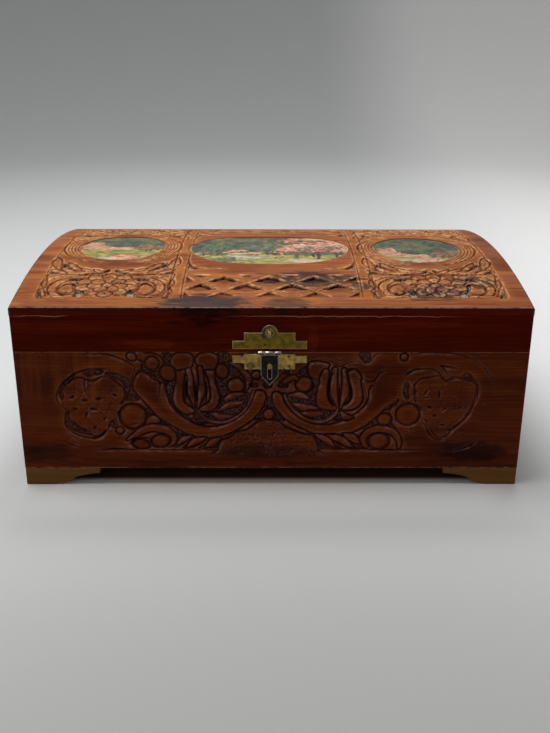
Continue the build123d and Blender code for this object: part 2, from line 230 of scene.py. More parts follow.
def makeCamera():
    down, right, roll = (math.radians(camera[k]) for k in ("down", "right", "roll"))
    forward = Vector((math.sin(right) * math.cos(down), math.cos(right) * math.cos(down), -math.sin(down)))
    level = forward.cross(Vector((0, 0, 1))).normalized()
    upright = level.cross(forward)
    across = level * math.cos(roll) + upright * math.sin(roll)
    up = across.cross(forward)
    data = bpy.data.cameras.new("camera")
    data.lens = camera["lens"]
    obj = bpy.data.objects.new("camera", data)
    bpy.context.scene.collection.objects.link(obj)
    obj.matrix_world = Matrix.Translation(camera["place"]) @ Matrix((across, up,
            -forward)).transposed().to_4x4()
    bpy.context.scene.camera = obj


def makeStage():
    # a flat disc whose rim sweeps up all round
    rings = [*stage["middle"], stage["flat"]]
    heights = [0, 0, 0]
    for k in range(1, stage["curveSteps"] + 1):
        turn = math.radians(90 / stage["curveSteps"] * k)
        rings.append(stage["flat"] + (stage["radius"] - stage["flat"]) * math.sin(turn))
        heights.append((stage["radius"] - stage["flat"]) * (1 - math.cos(turn)))
    rings.append(stage["radius"])
    heights.append(stage["height"])
    count = stage["sides"]
    points, faces = [], []
    for r, h in zip(rings, heights):
        for k in range(count):
            turn = 2 * math.pi * k / count
            points.append((r * math.cos(turn), r * math.sin(turn), h))
    for ringNumber in range(len(rings) - 1):
        for k in range(count):
            a, b = ringNumber * count + k, ringNumber * count + (k + 1) % count
            faces.append((a, a + count, b + count, b))
    faces.append(tuple(range(count)))
    mesh = bpy.data.meshes.new("studioFloor")
    mesh.from_pydata(points, [], faces)
    floor = bpy.data.objects.new("studioFloor", mesh)
    bpy.context.scene.collection.objects.link(floor)
    editWhole(floor, ("normals_make_consistent", {"inside": True}))
    bpy.ops.object.shade_smooth()
    paper = bpy.data.materials.new("paleFloor")
    paper.use_nodes = True
    t, shader = Tree(paper.node_tree), paper.node_tree.nodes["Principled BSDF"].inputs
    # painted shade greyer in front of the box, painted light paler just before its front, paler to the right,
    # and a painted shadow right under it
    place = t.node("TexCoord").outputs["Object"]
    away = t.vector("DISTANCE", place, stage["greyAt"])
    across = t.parts(place)[0]
    far = t.blend(t.span(across, stage["brightFrom"], stage["brightTo"]), stage["far"], stage["bright"])
    # painted shade: the floor greyer in front of the box
    tone = t.blend(t.span(away, stage["greyFrom"], stage["greyTo"]), stage["near"], far)
    outline = (halfWidth * mm, (boxBack - boxFront) / 2 * mm, 1)
    outside = t.vector("SUBTRACT", place, (0, boxMiddle * mm, 0))
    outside = t.vector("SUBTRACT", t.vector("ABSOLUTE", outside), outline)
    outside = t.parts(outside)
    outside = t.math("MAXIMUM", outside[0], outside[1])
    forward = t.minus(boxFront * mm, t.parts(place)[1])
    ends = t.minus(t.math("ABSOLUTE", across), halfWidth * mm)
    # painted light: paler just in front of the box, where its shadow falls
    halo = t.times(t.span(forward, stage["halo"], 0, 0, stage["haloShare"]),
                  t.span(ends, stage["haloOut"], -stage["haloIn"]))
    halo = t.times(halo, t.span(forward, *stage["haloBack"]))
    tone = t.blend(halo, tone, stage["pale"])
    # painted shadow under the box
    tone = t.blend(t.span(outside, *stage["shadeEdge"]), tone, stage["shade"])
    t.put(shader["Base Color"], tone)
    shader["Roughness"].default_value = stage["roughness"]
    shader["Specular IOR Level"].default_value = stage["gloss"]
    mesh.materials.append(paper)


def makeLight():
    for name, lamp in lamps.items():
        data = bpy.data.lights.new(name, "AREA")
        data.shape = "RECTANGLE"
        data.size, data.size_y = lamp["size"]
        data.energy = lamp["power"]
        obj = bpy.data.objects.new(name, data)
        bpy.context.scene.collection.objects.link(obj)
        obj.location = lamp["place"]
        obj.rotation_euler = (Vector(lamp["aim"]) - Vector(lamp["place"])).to_track_quat("-Z", "Y").to_euler()
    world = bpy.data.worlds.new("studio")
    bpy.context.scene.world = world
    world.use_nodes = True
    nodes, links = world.node_tree.nodes, world.node_tree.links
    paths = nodes.new("ShaderNodeLightPath")
    choose = nodes.new("ShaderNodeMix")
    choose.inputs["A"].default_value = worldStrength["light"]
    choose.inputs["B"].default_value = worldStrength["seen"]
    links.new(paths.outputs["Is Camera Ray"], choose.inputs["Factor"])
    back = nodes["Background"]
    back.inputs["Color"].default_value = (1, 1, 1, 1)
    links.new(choose.outputs["Result"], back.inputs["Strength"])
    bpy.context.scene.view_settings.view_transform = "Standard"


makeCamera()
makeStage()
makeLight()
print("camera, floor and light are in place")


# ---- carving: heights in millimetres on a fine grid, 0 at the planed face ----

def newPanel(left, right, low, high, step):
    across = np.arange(round((right - left) / step) + 1) * step + left
    up = np.arange(round((high - low) / step) + 1) * step + low
    x, z = np.meshgrid(across, up, indexing="ij")
    return {"x": x, "z": z, "step": step, "height": np.zeros_like(x), "punched": np.zeros_like(x)}


def smoothLine(points, closed=False, stepLength=0.9):
    p = np.array(points, float)
    ends = [p[-1:], p, p[:2]] if closed else [2 * p[:1] - p[1:2], p, 2 * p[-1:] - p[-2:-1]]
    p = np.vstack(ends)
    line = []
    for a, b, c, d in zip(p, p[1:], p[2:], p[3:]):
        count = max(2, int(np.linalg.norm((c - b)[:2]) / stepLength))
        t = np.linspace(0, 1, count, endpoint=False)[:, None]
        curve = 2 * b + (c - a) * t + (2 * a - 5 * b + 4 * c - d) * t**2 + (3 * b - a - 3 * c + d) * t**3
        line.append(0.5 * curve)
    return np.vstack(line + ([] if closed else [p[-2:-1]]))


def window(panel, low, high, margin):
    x, z = panel["x"][:, 0], panel["z"][0]
    i = slice(*np.searchsorted(x, (low[0] - margin, high[0] + margin)))
    j = slice(*np.searchsorted(z, (low[1] - margin, high[1] + margin)))
    return i, j


def oval(panel, x, z, wide, tall=None, turn=0, margin=2.5):
    # inside is positive, in millimetres from the edge
    tall = tall or wide
    reach = max(wide, tall)
    i, j = window(panel, (x - reach, z - reach), (x + reach, z + reach), margin)
    dx, dz = panel["x"][i, j] - x, panel["z"][i, j] - z
    c, s = np.cos(np.radians(turn)), np.sin(np.radians(turn))
    away = np.hypot((dx * c + dz * s) / wide, (dz * c - dx * s) / tall)
    return (i, j), (1 - away) * min(wide, tall)


def toSegments(px, pz, a, b):
    # nearest distance from every grid point to a chain of short lines, and where along it
    best = np.full(px.shape, 1e9)
    along = np.zeros(px.shape)
    for k, (s, e) in enumerate(zip(a, b)):
        dx, dz = e[0] - s[0], e[1] - s[1]
        t = np.clip(((px - s[0]) * dx + (pz - s[1]) * dz) / (dx * dx + dz * dz + 1e-12), 0, 1)
        d = np.hypot(px - s[0] - t * dx, pz - s[1] - t * dz)
        near = d < best
        best = np.where(near, d, best)
        along = np.where(near, k + t, along)
    return best, along


def stroke(panel, points, width, margin=2.5):
    # a strip along a smooth line; width is one number, or one for each point
    widths = [width] * len(points) if np.isscalar(width) else width
    line = smoothLine([(x, z, w) for (x, z), w in zip(points, widths)])
    half = np.clip(line[:, 2], 0, None) / 2
    i, j = window(panel, line[:, :2].min(0), line[:, :2].max(0), half.max() + margin)
    best, along = toSegments(panel["x"][i, j], panel["z"][i, j], line[:-1, :2], line[1:, :2])
    return (i, j), np.interp(along, np.arange(len(half)), half) - best


def leaf(panel, x0, z0, x1, z1, width, bend=0.0, margin=2.5):
    # pointed at both ends, widest in the middle
    middle = ((x0 + x1) / 2 - bend * (z1 - z0), (z0 + z1) / 2 + bend * (x1 - x0))
    first, last = (x0, z0), (x1, z1)
    halfway = [tuple(a + (b - a) * 0.5 for a, b in zip(*ends)) for ends in ((first, middle), (middle, last))]
    points = [first, halfway[0], middle, halfway[1], last]
    return stroke(panel, points, [0.1 * width, 0.78 * width, width, 0.78 * width, 0.1 * width], margin)


def area(panel, points, margin=2.5, closedSmooth=True):
    # inside of a closed smooth outline
    line = smoothLine(points, closed=True) if closedSmooth else np.array(points, float)
    i, j = window(panel, line.min(0), line.max(0), margin)
    px, pz = panel["x"][i, j], panel["z"][i, j]
    after = np.roll(line, -1, axis=0)
    best, _ = toSegments(px, pz, line, after)
    inside = np.zeros(px.shape, bool)
    for (ax, az), (bx, bz) in zip(line, after):
        crosses = (az > pz) != (bz > pz)
        if crosses.any():
            inside ^= crosses & (px < (bx - ax) * (pz - az) / (bz - az + 1e-12) + ax)
    return (i, j), np.where(inside, best, -best)


def sink(panel, shape, depth=1.5, wall=0.7):
    # takes the ground down inside a shape, with a steep wall
    place, inside = shape
    share = np.clip(inside / wall + 0.3, 0, 1)
    height = panel["height"][place]
    panel["height"][place] = np.minimum(height, -depth * share)
    panel["punched"][place] = np.maximum(panel["punched"][place], share >= 1)


def raiseUp(panel, shape, top=0.0, crown=1.6, cut=1.3, side=1.0):
    # leaves a rounded form standing to top, with a V cut all round it
    place, inside = shape
    height = panel["height"][place]
    u = np.clip(inside / crown, 0, 1)
    form = -cut + (top + cut) * np.sqrt(1 - (1 - u) ** 2)
    outside = np.minimum(height, -cut * (1 + inside / side))
    panel["height"][place] = np.where(inside > 0, form, np.where(inside > -side, outside, height))
    panel["punched"][place] = np.where(inside > 0, 0, panel["punched"][place])


def raiseArea(panel, *where, **form):
    raiseUp(panel, area(panel, *where), **form)


def raiseOval(panel, *where, **form):
    raiseUp(panel, oval(panel, *where), **form)


def raiseLeaf(panel, *where, **form):
    raiseUp(panel, leaf(panel, *where), **form)


def raiseStroke(panel, *where, **form):
    raiseUp(panel, stroke(panel, *where), **form)


def cutLine(panel, points, width, depth):
    # one pass of the V tool; width may be a list, one for each point
    place, inside = stroke(panel, points, width, margin=0.5)
    height = panel["height"][place]
    most = np.max(width) / 2
    panel["height"][place] = np.where(inside > 0, np.minimum(height, height - depth * inside / most), height)


def nick(panel, x, z, long, wide, turn=0, depth=1.0):
    # a stab of the gouge
    place, inside = oval(panel, x, z, long / 2, wide / 2, turn, margin=0.5)
    share = np.clip(inside / (min(long, wide) / 2), 0, 1)
    panel["height"][place] -= depth * np.sqrt(share)


def soften(field, passes):
    # a light blur, so that cuts have hand-worked edges
    for _ in range(passes):
        wide = np.pad(field, 1, mode="edge")
        field = (wide[:-2, 1:-1] + 2 * wide[1:-1, 1:-1] + wide[2:, 1:-1]) / 4
        wide = np.pad(field, 1, mode="edge")
        field = (wide[1:-1, :-2] + 2 * wide[1:-1, 1:-1] + wide[1:-1, 2:]) / 4
    return field


def carveLeft(p):
    # arcs round the medallion
    cutLine(p, [(-113, 86.4), (-105, 86.5), (-97.4, 86.3), (-90, 83.9), (-84.7, 81), (-81, 78.6)],
            [0.6, 1.2, 1.6, 1.6, 1.4, 0.8], 1.1)
    cutLine(p, [(-81, 78.6), (-82, 74), (-83.3, 69), (-81.8, 63), (-79.6, 58.6)], [0.8, 1.3, 1.6, 1.4, 0.8],
            1.0)
    cutLine(p, [(-124.5, 51), (-127.6, 54), (-129, 58.5), (-128, 63), (-124.6, 67.6), (-119.7, 72),
            (-114, 75.4), (-108, 77.1), (-101, 77.3), (-95, 76.8)], [0.7, 1.1, 1.5, 1.9, 2.2, 2.2, 2.0, 1.8,
            1.5, 0.6], 1.2)
    # ground
    pockets = [
        [(-98, 74.9), (-92.5, 74.4), (-88, 72.8), (-84.4, 69.8), (-83.9, 66), (-85, 62), (-87.5, 58.5),
         (-88.6, 62),
         (-88, 66), (-91, 69.3), (-95, 71.6), (-99, 72.9)],
        [(-128, 61), (-126, 66), (-121.5, 70.5), (-117, 73.6), (-117.4, 71.4), (-122, 67.5), (-125.4, 62.6),
         (-126, 57)],
        [(-112, 75.6), (-106, 76.6), (-100, 76.2), (-101.5, 73.4), (-106.5, 72.5), (-110, 71.8),
         (-111.8, 73.4)],
        [(-87.5, 59), (-84, 61), (-80.5, 60), (-79, 57.2), (-83, 56), (-88, 56.6)],
        [(-95.4, 45.5), (-93.6, 43), (-94, 37.5), (-96.6, 38.4), (-98.6, 41), (-96.6, 43)],
        [(-124.4, 49), (-122.4, 46), (-120.6, 42), (-118, 39.3), (-113.2, 37), (-109.5, 33.6), (-113, 33.6),
         (-119, 35.6),
         (-123, 38.4), (-125.6, 41)],
        [(-76.4, 51.8), (-72.6, 50.9), (-70.5, 47.8), (-72.6, 46.7), (-76.4, 48.3)],
        [(-68.6, 44.4), (-64, 42.6), (-60.2, 40.6), (-63, 40), (-67.6, 40.9)],
        [(-57.2, 37.2), (-54, 35.3), (-52.8, 33), (-54.6, 31.3), (-56.8, 30.6), (-57.5, 33.6)],
        [(-60.4, 26.6), (-57.8, 29), (-55.8, 26.2), (-58, 24.8)],
        [(-35.5, 31.4), (-32, 31.4), (-28, 32.9), (-26.4, 35.4), (-31, 33.6)],
        [(-37.4, 25), (-33, 25), (-32.4, 29.8), (-34.6, 28)],
        [(-45, 24.8), (-39.4, 24.8), (-41.2, 27.8)],
        [(-54.6, 24.8), (-50.8, 24.8), (-52.8, 27)],
        [(-65, 87.2), (-60, 87.2), (-59.4, 83), (-61.8, 80.4), (-65.4, 80.8), (-63.9, 84.4)],
        [(-77.6, 80.4), (-75, 79.6), (-74.3, 76.4), (-72.4, 75), (-67.6, 74.9), (-66.2, 71.4), (-68.6, 70.6),
         (-71, 72.2), (-74, 74), (-77.2, 75.6)],
        [(-63.9, 67.6), (-60.5, 68.6), (-57.4, 69.6), (-58.2, 65), (-59.5, 58), (-58.6, 53), (-55, 49),
         (-50.5, 46.1),
         (-48, 45.3), (-44, 42), (-40, 40.5), (-44, 40.2), (-50, 43.2), (-55, 47), (-59.5, 52.5), (-62, 57.5),
         (-63.4, 62)],
        [(-47.6, 49.6), (-44, 48.4), (-41.5, 45.2), (-37, 42.2), (-40, 41), (-44.5, 42.2), (-48.4, 45.2)],
        [(-34.4, 73), (-32, 69), (-29, 70), (-27, 71.4), (-25.6, 70.4), (-27, 67), (-26.6, 63.5), (-24, 61),
         (-27, 60),
         (-29.8, 57.8), (-30.5, 54.5), (-32.3, 52.3), (-31, 57), (-31.2, 61), (-33.2, 67)],
        [(-32.7, 80.5), (-31.6, 84), (-32.6, 87.2), (-25.5, 87.2), (-25.2, 81.5), (-28, 80.7), (-30, 81)],
        [(-26, 79.5), (-22.4, 79), (-19.8, 76), (-18.2, 72.6), (-21.5, 71.8), (-25.4, 73.2), (-25.6, 76)],
        [(-38.5, 49), (-33.5, 51.5), (-31, 54.5), (-28.5, 57), (-24, 61.5), (-19, 61.4), (-14.2, 62.4),
         (-12.2, 57),
         (-15.3, 51), (-20, 46.3), (-25, 43.1), (-30.5, 41.8), (-36.7, 42.6), (-41, 45.7)],
    ]
    for outline in pockets:
        sink(p, area(p, outline))
    # grape cluster
    raiseArea(p, [(-125.2, 55), (-125, 60.5), (-122.5, 66.5), (-118, 70.6), (-114, 71.6), (-110.8, 70.2),
            (-106, 69.6), (-103, 71.2), (-99, 71.8), (-94.6, 70.2), (-90.6, 66.8), (-88.6, 62), (-88.6, 57.5),
            (-91.6, 52.6), (-92.8, 47.6), (-96.6, 43.6), (-99.4, 38.4), (-103, 34.2), (-107.4, 33),
            (-111.4, 35.4), (-116.4, 38.6), (-119.6, 41.8), (-122, 46.4), (-123.6, 50.6)], top=-0.1,
            crown=2.6, cut=1.5)
    for x, z, r in [(-119.2, 62.2, 5.6), (-113.6, 66.5, 4.4), (-99.2, 66.2, 5.6), (-92.8, 61.6, 4.6),
            (-106.6, 62.6, 4.6), (-121.8, 54.2, 4.4), (-115, 53.2, 4.4), (-100.2, 54.4, 4.6),
            (-107.6, 56, 3.8), (-94.4, 52.6, 3.8), (-118.4, 46.2, 4.0), (-96.8, 47.6, 3.8),
            (-106.6, 45.4, 5.6), (-113, 41.6, 3.6), (-102.6, 39.4, 3.6), (-107.6, 36.6, 3.2)]:
        raiseOval(p, x, z, r, top=-0.05, crown=r * 0.9, cut=0.4, side=0.5)
    for x, z, long, wide, turn in [(-119.7, 58.9, 3.4, 2.2, 30), (-112.4, 56.8, 4.2, 2.6, 5),
            (-104, 57.8, 4.6, 2.2, 10), (-94.2, 60.1, 3.4, 2.0, -35), (-118.2, 51.3, 2.8, 2.2, 0),
            (-112, 47.6, 4.8, 1.7, 70), (-107.4, 51, 5.6, 1.8, 0), (-107.4, 38.9, 2.8, 2.8, 0),
            (-113.6, 36.6, 3.2, 2.4, 30), (-101, 44.8, 3.0, 1.6, 50)]:
        nick(p, x, z, long, wide, turn, 1.1)
    cutLine(p, [(-111.6, 70.6), (-111.9, 66), (-111.4, 61)], [1.8, 1.6, 0.5], 0.8)
    cutLine(p, [(-125.8, 40.2), (-121.9, 36.3), (-116.9, 33.4), (-111, 32), (-107, 31.8), (-103.6, 33.4),
            (-100.8, 37.4)], [0.8, 1.6, 1.9, 2.1, 2.3, 2.1, 1.2], 1.5)
    # stem below it
    for shift, depth in [(0, 0.55), (-3.1, 0.4)]:
        cutLine(p, [(-126, 37.4 + shift), (-121, 33 + shift), (-116, 30.6 + shift), (-108, 29.2 + shift)],
                [0.3, 0.8, 0.8, 0.2], depth)
    cutLine(p, [(-126, 30.2), (-122.6, 27.6), (-118.6, 25.6)], [0.5, 1.6, 0.6], 1.0)
    cutLine(p, [(-104.4, 24.3), (-100, 24.4), (-95, 24.5), (-90, 24.2), (-84, 23.8)],
            [0.4, 1.3, 2.0, 1.4, 0.6], 1.2)
    # big ball and its neighbours
    raiseOval(p, -83.9, 46.2, 8.3, 8.5, crown=4.2, cut=1.7, side=1.0)
    nick(p, -84.4, 41, 7, 1.6, 15, 0.7)
    raiseOval(p, -92.3, 36.8, 2.5, 2.3, crown=1.8, cut=1.2)
    raiseOval(p, -79.9, 27.6, 5.4, 3.3, -8, top=-0.2, crown=2.6, cut=1.6)
    raiseOval(p, -71.9, 42.9, 4.7, 4.0, 10, crown=2.8, cut=1.5)
    # lower scroll
    raiseStroke(p, [(-88, 30.6), (-84.4, 33), (-79.4, 36.2), (-74, 38.4), (-68.5, 38.2), (-63, 36.3),
            (-60, 32.4), (-60.6, 28.6), (-63.2, 26.8)], [1.6, 3.4, 4.6, 5.2, 5.4, 5.0, 4.6, 3.6, 2.4],
            crown=1.6, cut=1.3)
    raiseOval(p, -67.7, 29.8, 5.9, 4.5, 10, crown=3.4, cut=1.6)
    cutLine(p, [(-91.6, 27.4), (-86.6, 27.9), (-83.9, 30.2), (-79.8, 31.9), (-75, 31.6), (-73.2, 29)],
            [0.5, 1.1, 1.6, 2.0, 1.7, 1.0], 1.3)
    # curls at the top
    raiseStroke(p, [(-78.6, 86), (-74.6, 84.4), (-70.6, 84.4), (-67.2, 82.6), (-66.6, 79.6), (-69.4, 77.6),
            (-72.6, 79)], [5.6, 5.6, 5.2, 5.0, 4.8, 4.4, 3.6], crown=1.7, cut=1.3)
    raiseOval(p, -70.9, 80.7, 4.2, 4.4, crown=2.6, cut=1.2)
    raiseOval(p, -82.8, 84.9, 3.0, 2.6, -30, crown=1.8, cut=1.2)
    # the U-shaped band with three pointed tips
    raiseArea(p, [(-81.7, 62.2), (-79.2, 58.9), (-73.9, 52.2), (-70.6, 47.8), (-66.7, 43.9), (-60.6, 39.9),
            (-53.9, 35.6), (-48.9, 33.2), (-43.3, 32), (-35, 32), (-29.4, 33.2), (-23.9, 35.6), (-16.7, 40),
            (-11.1, 44.4), (-7.2, 48.9), (-4.9, 53.3), (-3.2, 58.4), (-4.4, 62.6), (-8.6, 63.4), (-11, 60),
            (-12.8, 55.6), (-16, 50.6), (-20.6, 46), (-26.1, 42.2), (-31.7, 40), (-37.8, 39.4), (-43.9, 40),
            (-49.4, 42.8), (-53.9, 45.9), (-58.9, 51), (-61.7, 55.8), (-62.9, 61), (-63.9, 66.6),
            (-65.6, 68.6), (-66.7, 67), (-67.6, 69.4), (-69.6, 70), (-71.6, 71.6), (-74, 73.4), (-77.4, 75.6),
            (-80.4, 73.6), (-82.4, 69), (-82.9, 65)], top=0.0, crown=1.5, cut=1.5, side=0.9)
    cutLine(p, [(-66.6, 67.4), (-67.2, 62), (-66.4, 56), (-63.4, 50.4)], [1.2, 0.9, 0.8, 0.2], 0.55)
    cutLine(p, [(-72, 71.6), (-73.2, 66), (-72.8, 60)], [1.0, 0.8, 0.2], 0.4)
    cutLine(p, [(-58, 40.6), (-51, 36.6), (-44, 35.4), (-36, 35.6), (-29, 37.2)], [0.3, 1.2, 1.5, 1.4, 0.3],
            0.3)
    # tulip
    raiseArea(p, [(-60.2, 81.4), (-58.4, 85.6), (-55, 87.3), (-50, 87.4), (-46.8, 85.4), (-46.4, 81.6),
            (-47.6, 78.6), (-51, 76.4), (-56.4, 76), (-59.6, 78)], crown=1.6, cut=1.2)
    raiseArea(p, [(-45.2, 81.4), (-44.6, 85), (-41, 87.3), (-35.6, 87.4), (-32.2, 85), (-32.4, 80),
            (-34.6, 76.4), (-38.6, 75.4), (-42.6, 77.6)], crown=1.6, cut=1.2)
    raiseOval(p, -61.8, 74.3, 5.0, 5.4, 35, crown=3.2, cut=1.5)
    raiseOval(p, -29.5, 75.5, 3.9, 4.9, crown=2.8, cut=1.4)
    raiseArea(p, [(-56.7, 75.6), (-57.2, 70), (-58.4, 65), (-59.5, 57.8), (-58.3, 53), (-55, 49.2),
            (-50.6, 46.9), (-47, 48), (-46.4, 50.4), (-49.4, 53), (-52.4, 55.8), (-53, 60), (-52.6, 66),
            (-51.8, 72), (-50.6, 76.4)], crown=2.2, cut=1.5)
    raiseArea(p, [(-34.2, 75.6), (-33.7, 68), (-31.5, 61), (-31.5, 56.7), (-33.2, 52.2), (-37.8, 49.3),
            (-43.6, 49.3), (-44.4, 51), (-41, 53.8), (-37.8, 56), (-36.8, 59.5), (-37.2, 65), (-37.9, 70),
            (-39.6, 76)], crown=2.2, cut=1.5)
    raiseStroke(p, [(-49.6, 76), (-48.4, 70), (-48.6, 62), (-46.6, 52.6)], [3.4, 3.5, 4.0, 1.2], crown=1.6,
            cut=1.2)
    raiseStroke(p, [(-42.6, 77.4), (-42, 70), (-42.2, 62), (-44.6, 51.6)], [3.4, 3.4, 4.0, 1.2], crown=1.6,
            cut=1.2)
    for points in ([(-45.4, 68.6), (-45.4, 62), (-45.3, 56)], [(-39.2, 69.8), (-39.1, 63), (-39.6, 56.4)],
                   [(-51.2, 71), (-51.1, 64), (-51.6, 57.4)]):
        cutLine(p, points, [0.5, 2.1, 1.0], 2.2)
    # small forms round it
    raiseStroke(p, [(-24.4, 81), (-20.4, 79.2), (-17.2, 76.2), (-14.8, 72.6), (-13.6, 69), (-15.4, 65.4),
            (-18.4, 63.2)], [2.0, 3.4, 3.8, 3.8, 3.8, 3.4, 2.6], crown=1.5, cut=1.2)
    raiseOval(p, -21.3, 66.2, 5.4, 5.2, crown=3.4, cut=1.6)
    raiseLeaf(p, -29.6, 56.8, -15.6, 61.4, 4.6, 0.05, crown=1.9, cut=1.5)
    raiseLeaf(p, -33.4, 49.4, -15.8, 55.4, 4.6, 0.08, crown=1.9, cut=1.5)
    raiseLeaf(p, -37.6, 48.6, -23, 46.6, 4.2, -0.12, crown=1.8, cut=1.5)
    raiseStroke(p, [(-44.6, 50), (-41.6, 46), (-36.7, 42.9), (-30.6, 42), (-25, 43.4), (-19.4, 47.2),
            (-15.4, 51.4), (-12.6, 57), (-11, 62.4)], [1.2, 1.8, 2.2, 2.0, 1.8, 1.6, 1.6, 1.8, 2.2], top=-0.1,
            crown=0.9, cut=1.2, side=0.6)
    raiseOval(p, -48.6, 46.2, 1.9, 1.7, crown=1.4, cut=1.2)
    for x0, z0, x1, z1, width in [(-58.6, 26.8, -48.4, 33.4, 4.0), (-53, 24.9, -39.6, 32, 4.8),
            (-41, 24.9, -30.4, 32, 4.8)]:
        raiseLeaf(p, x0, z0, x1, z1, width, 0.06, crown=2.0, cut=1.5)


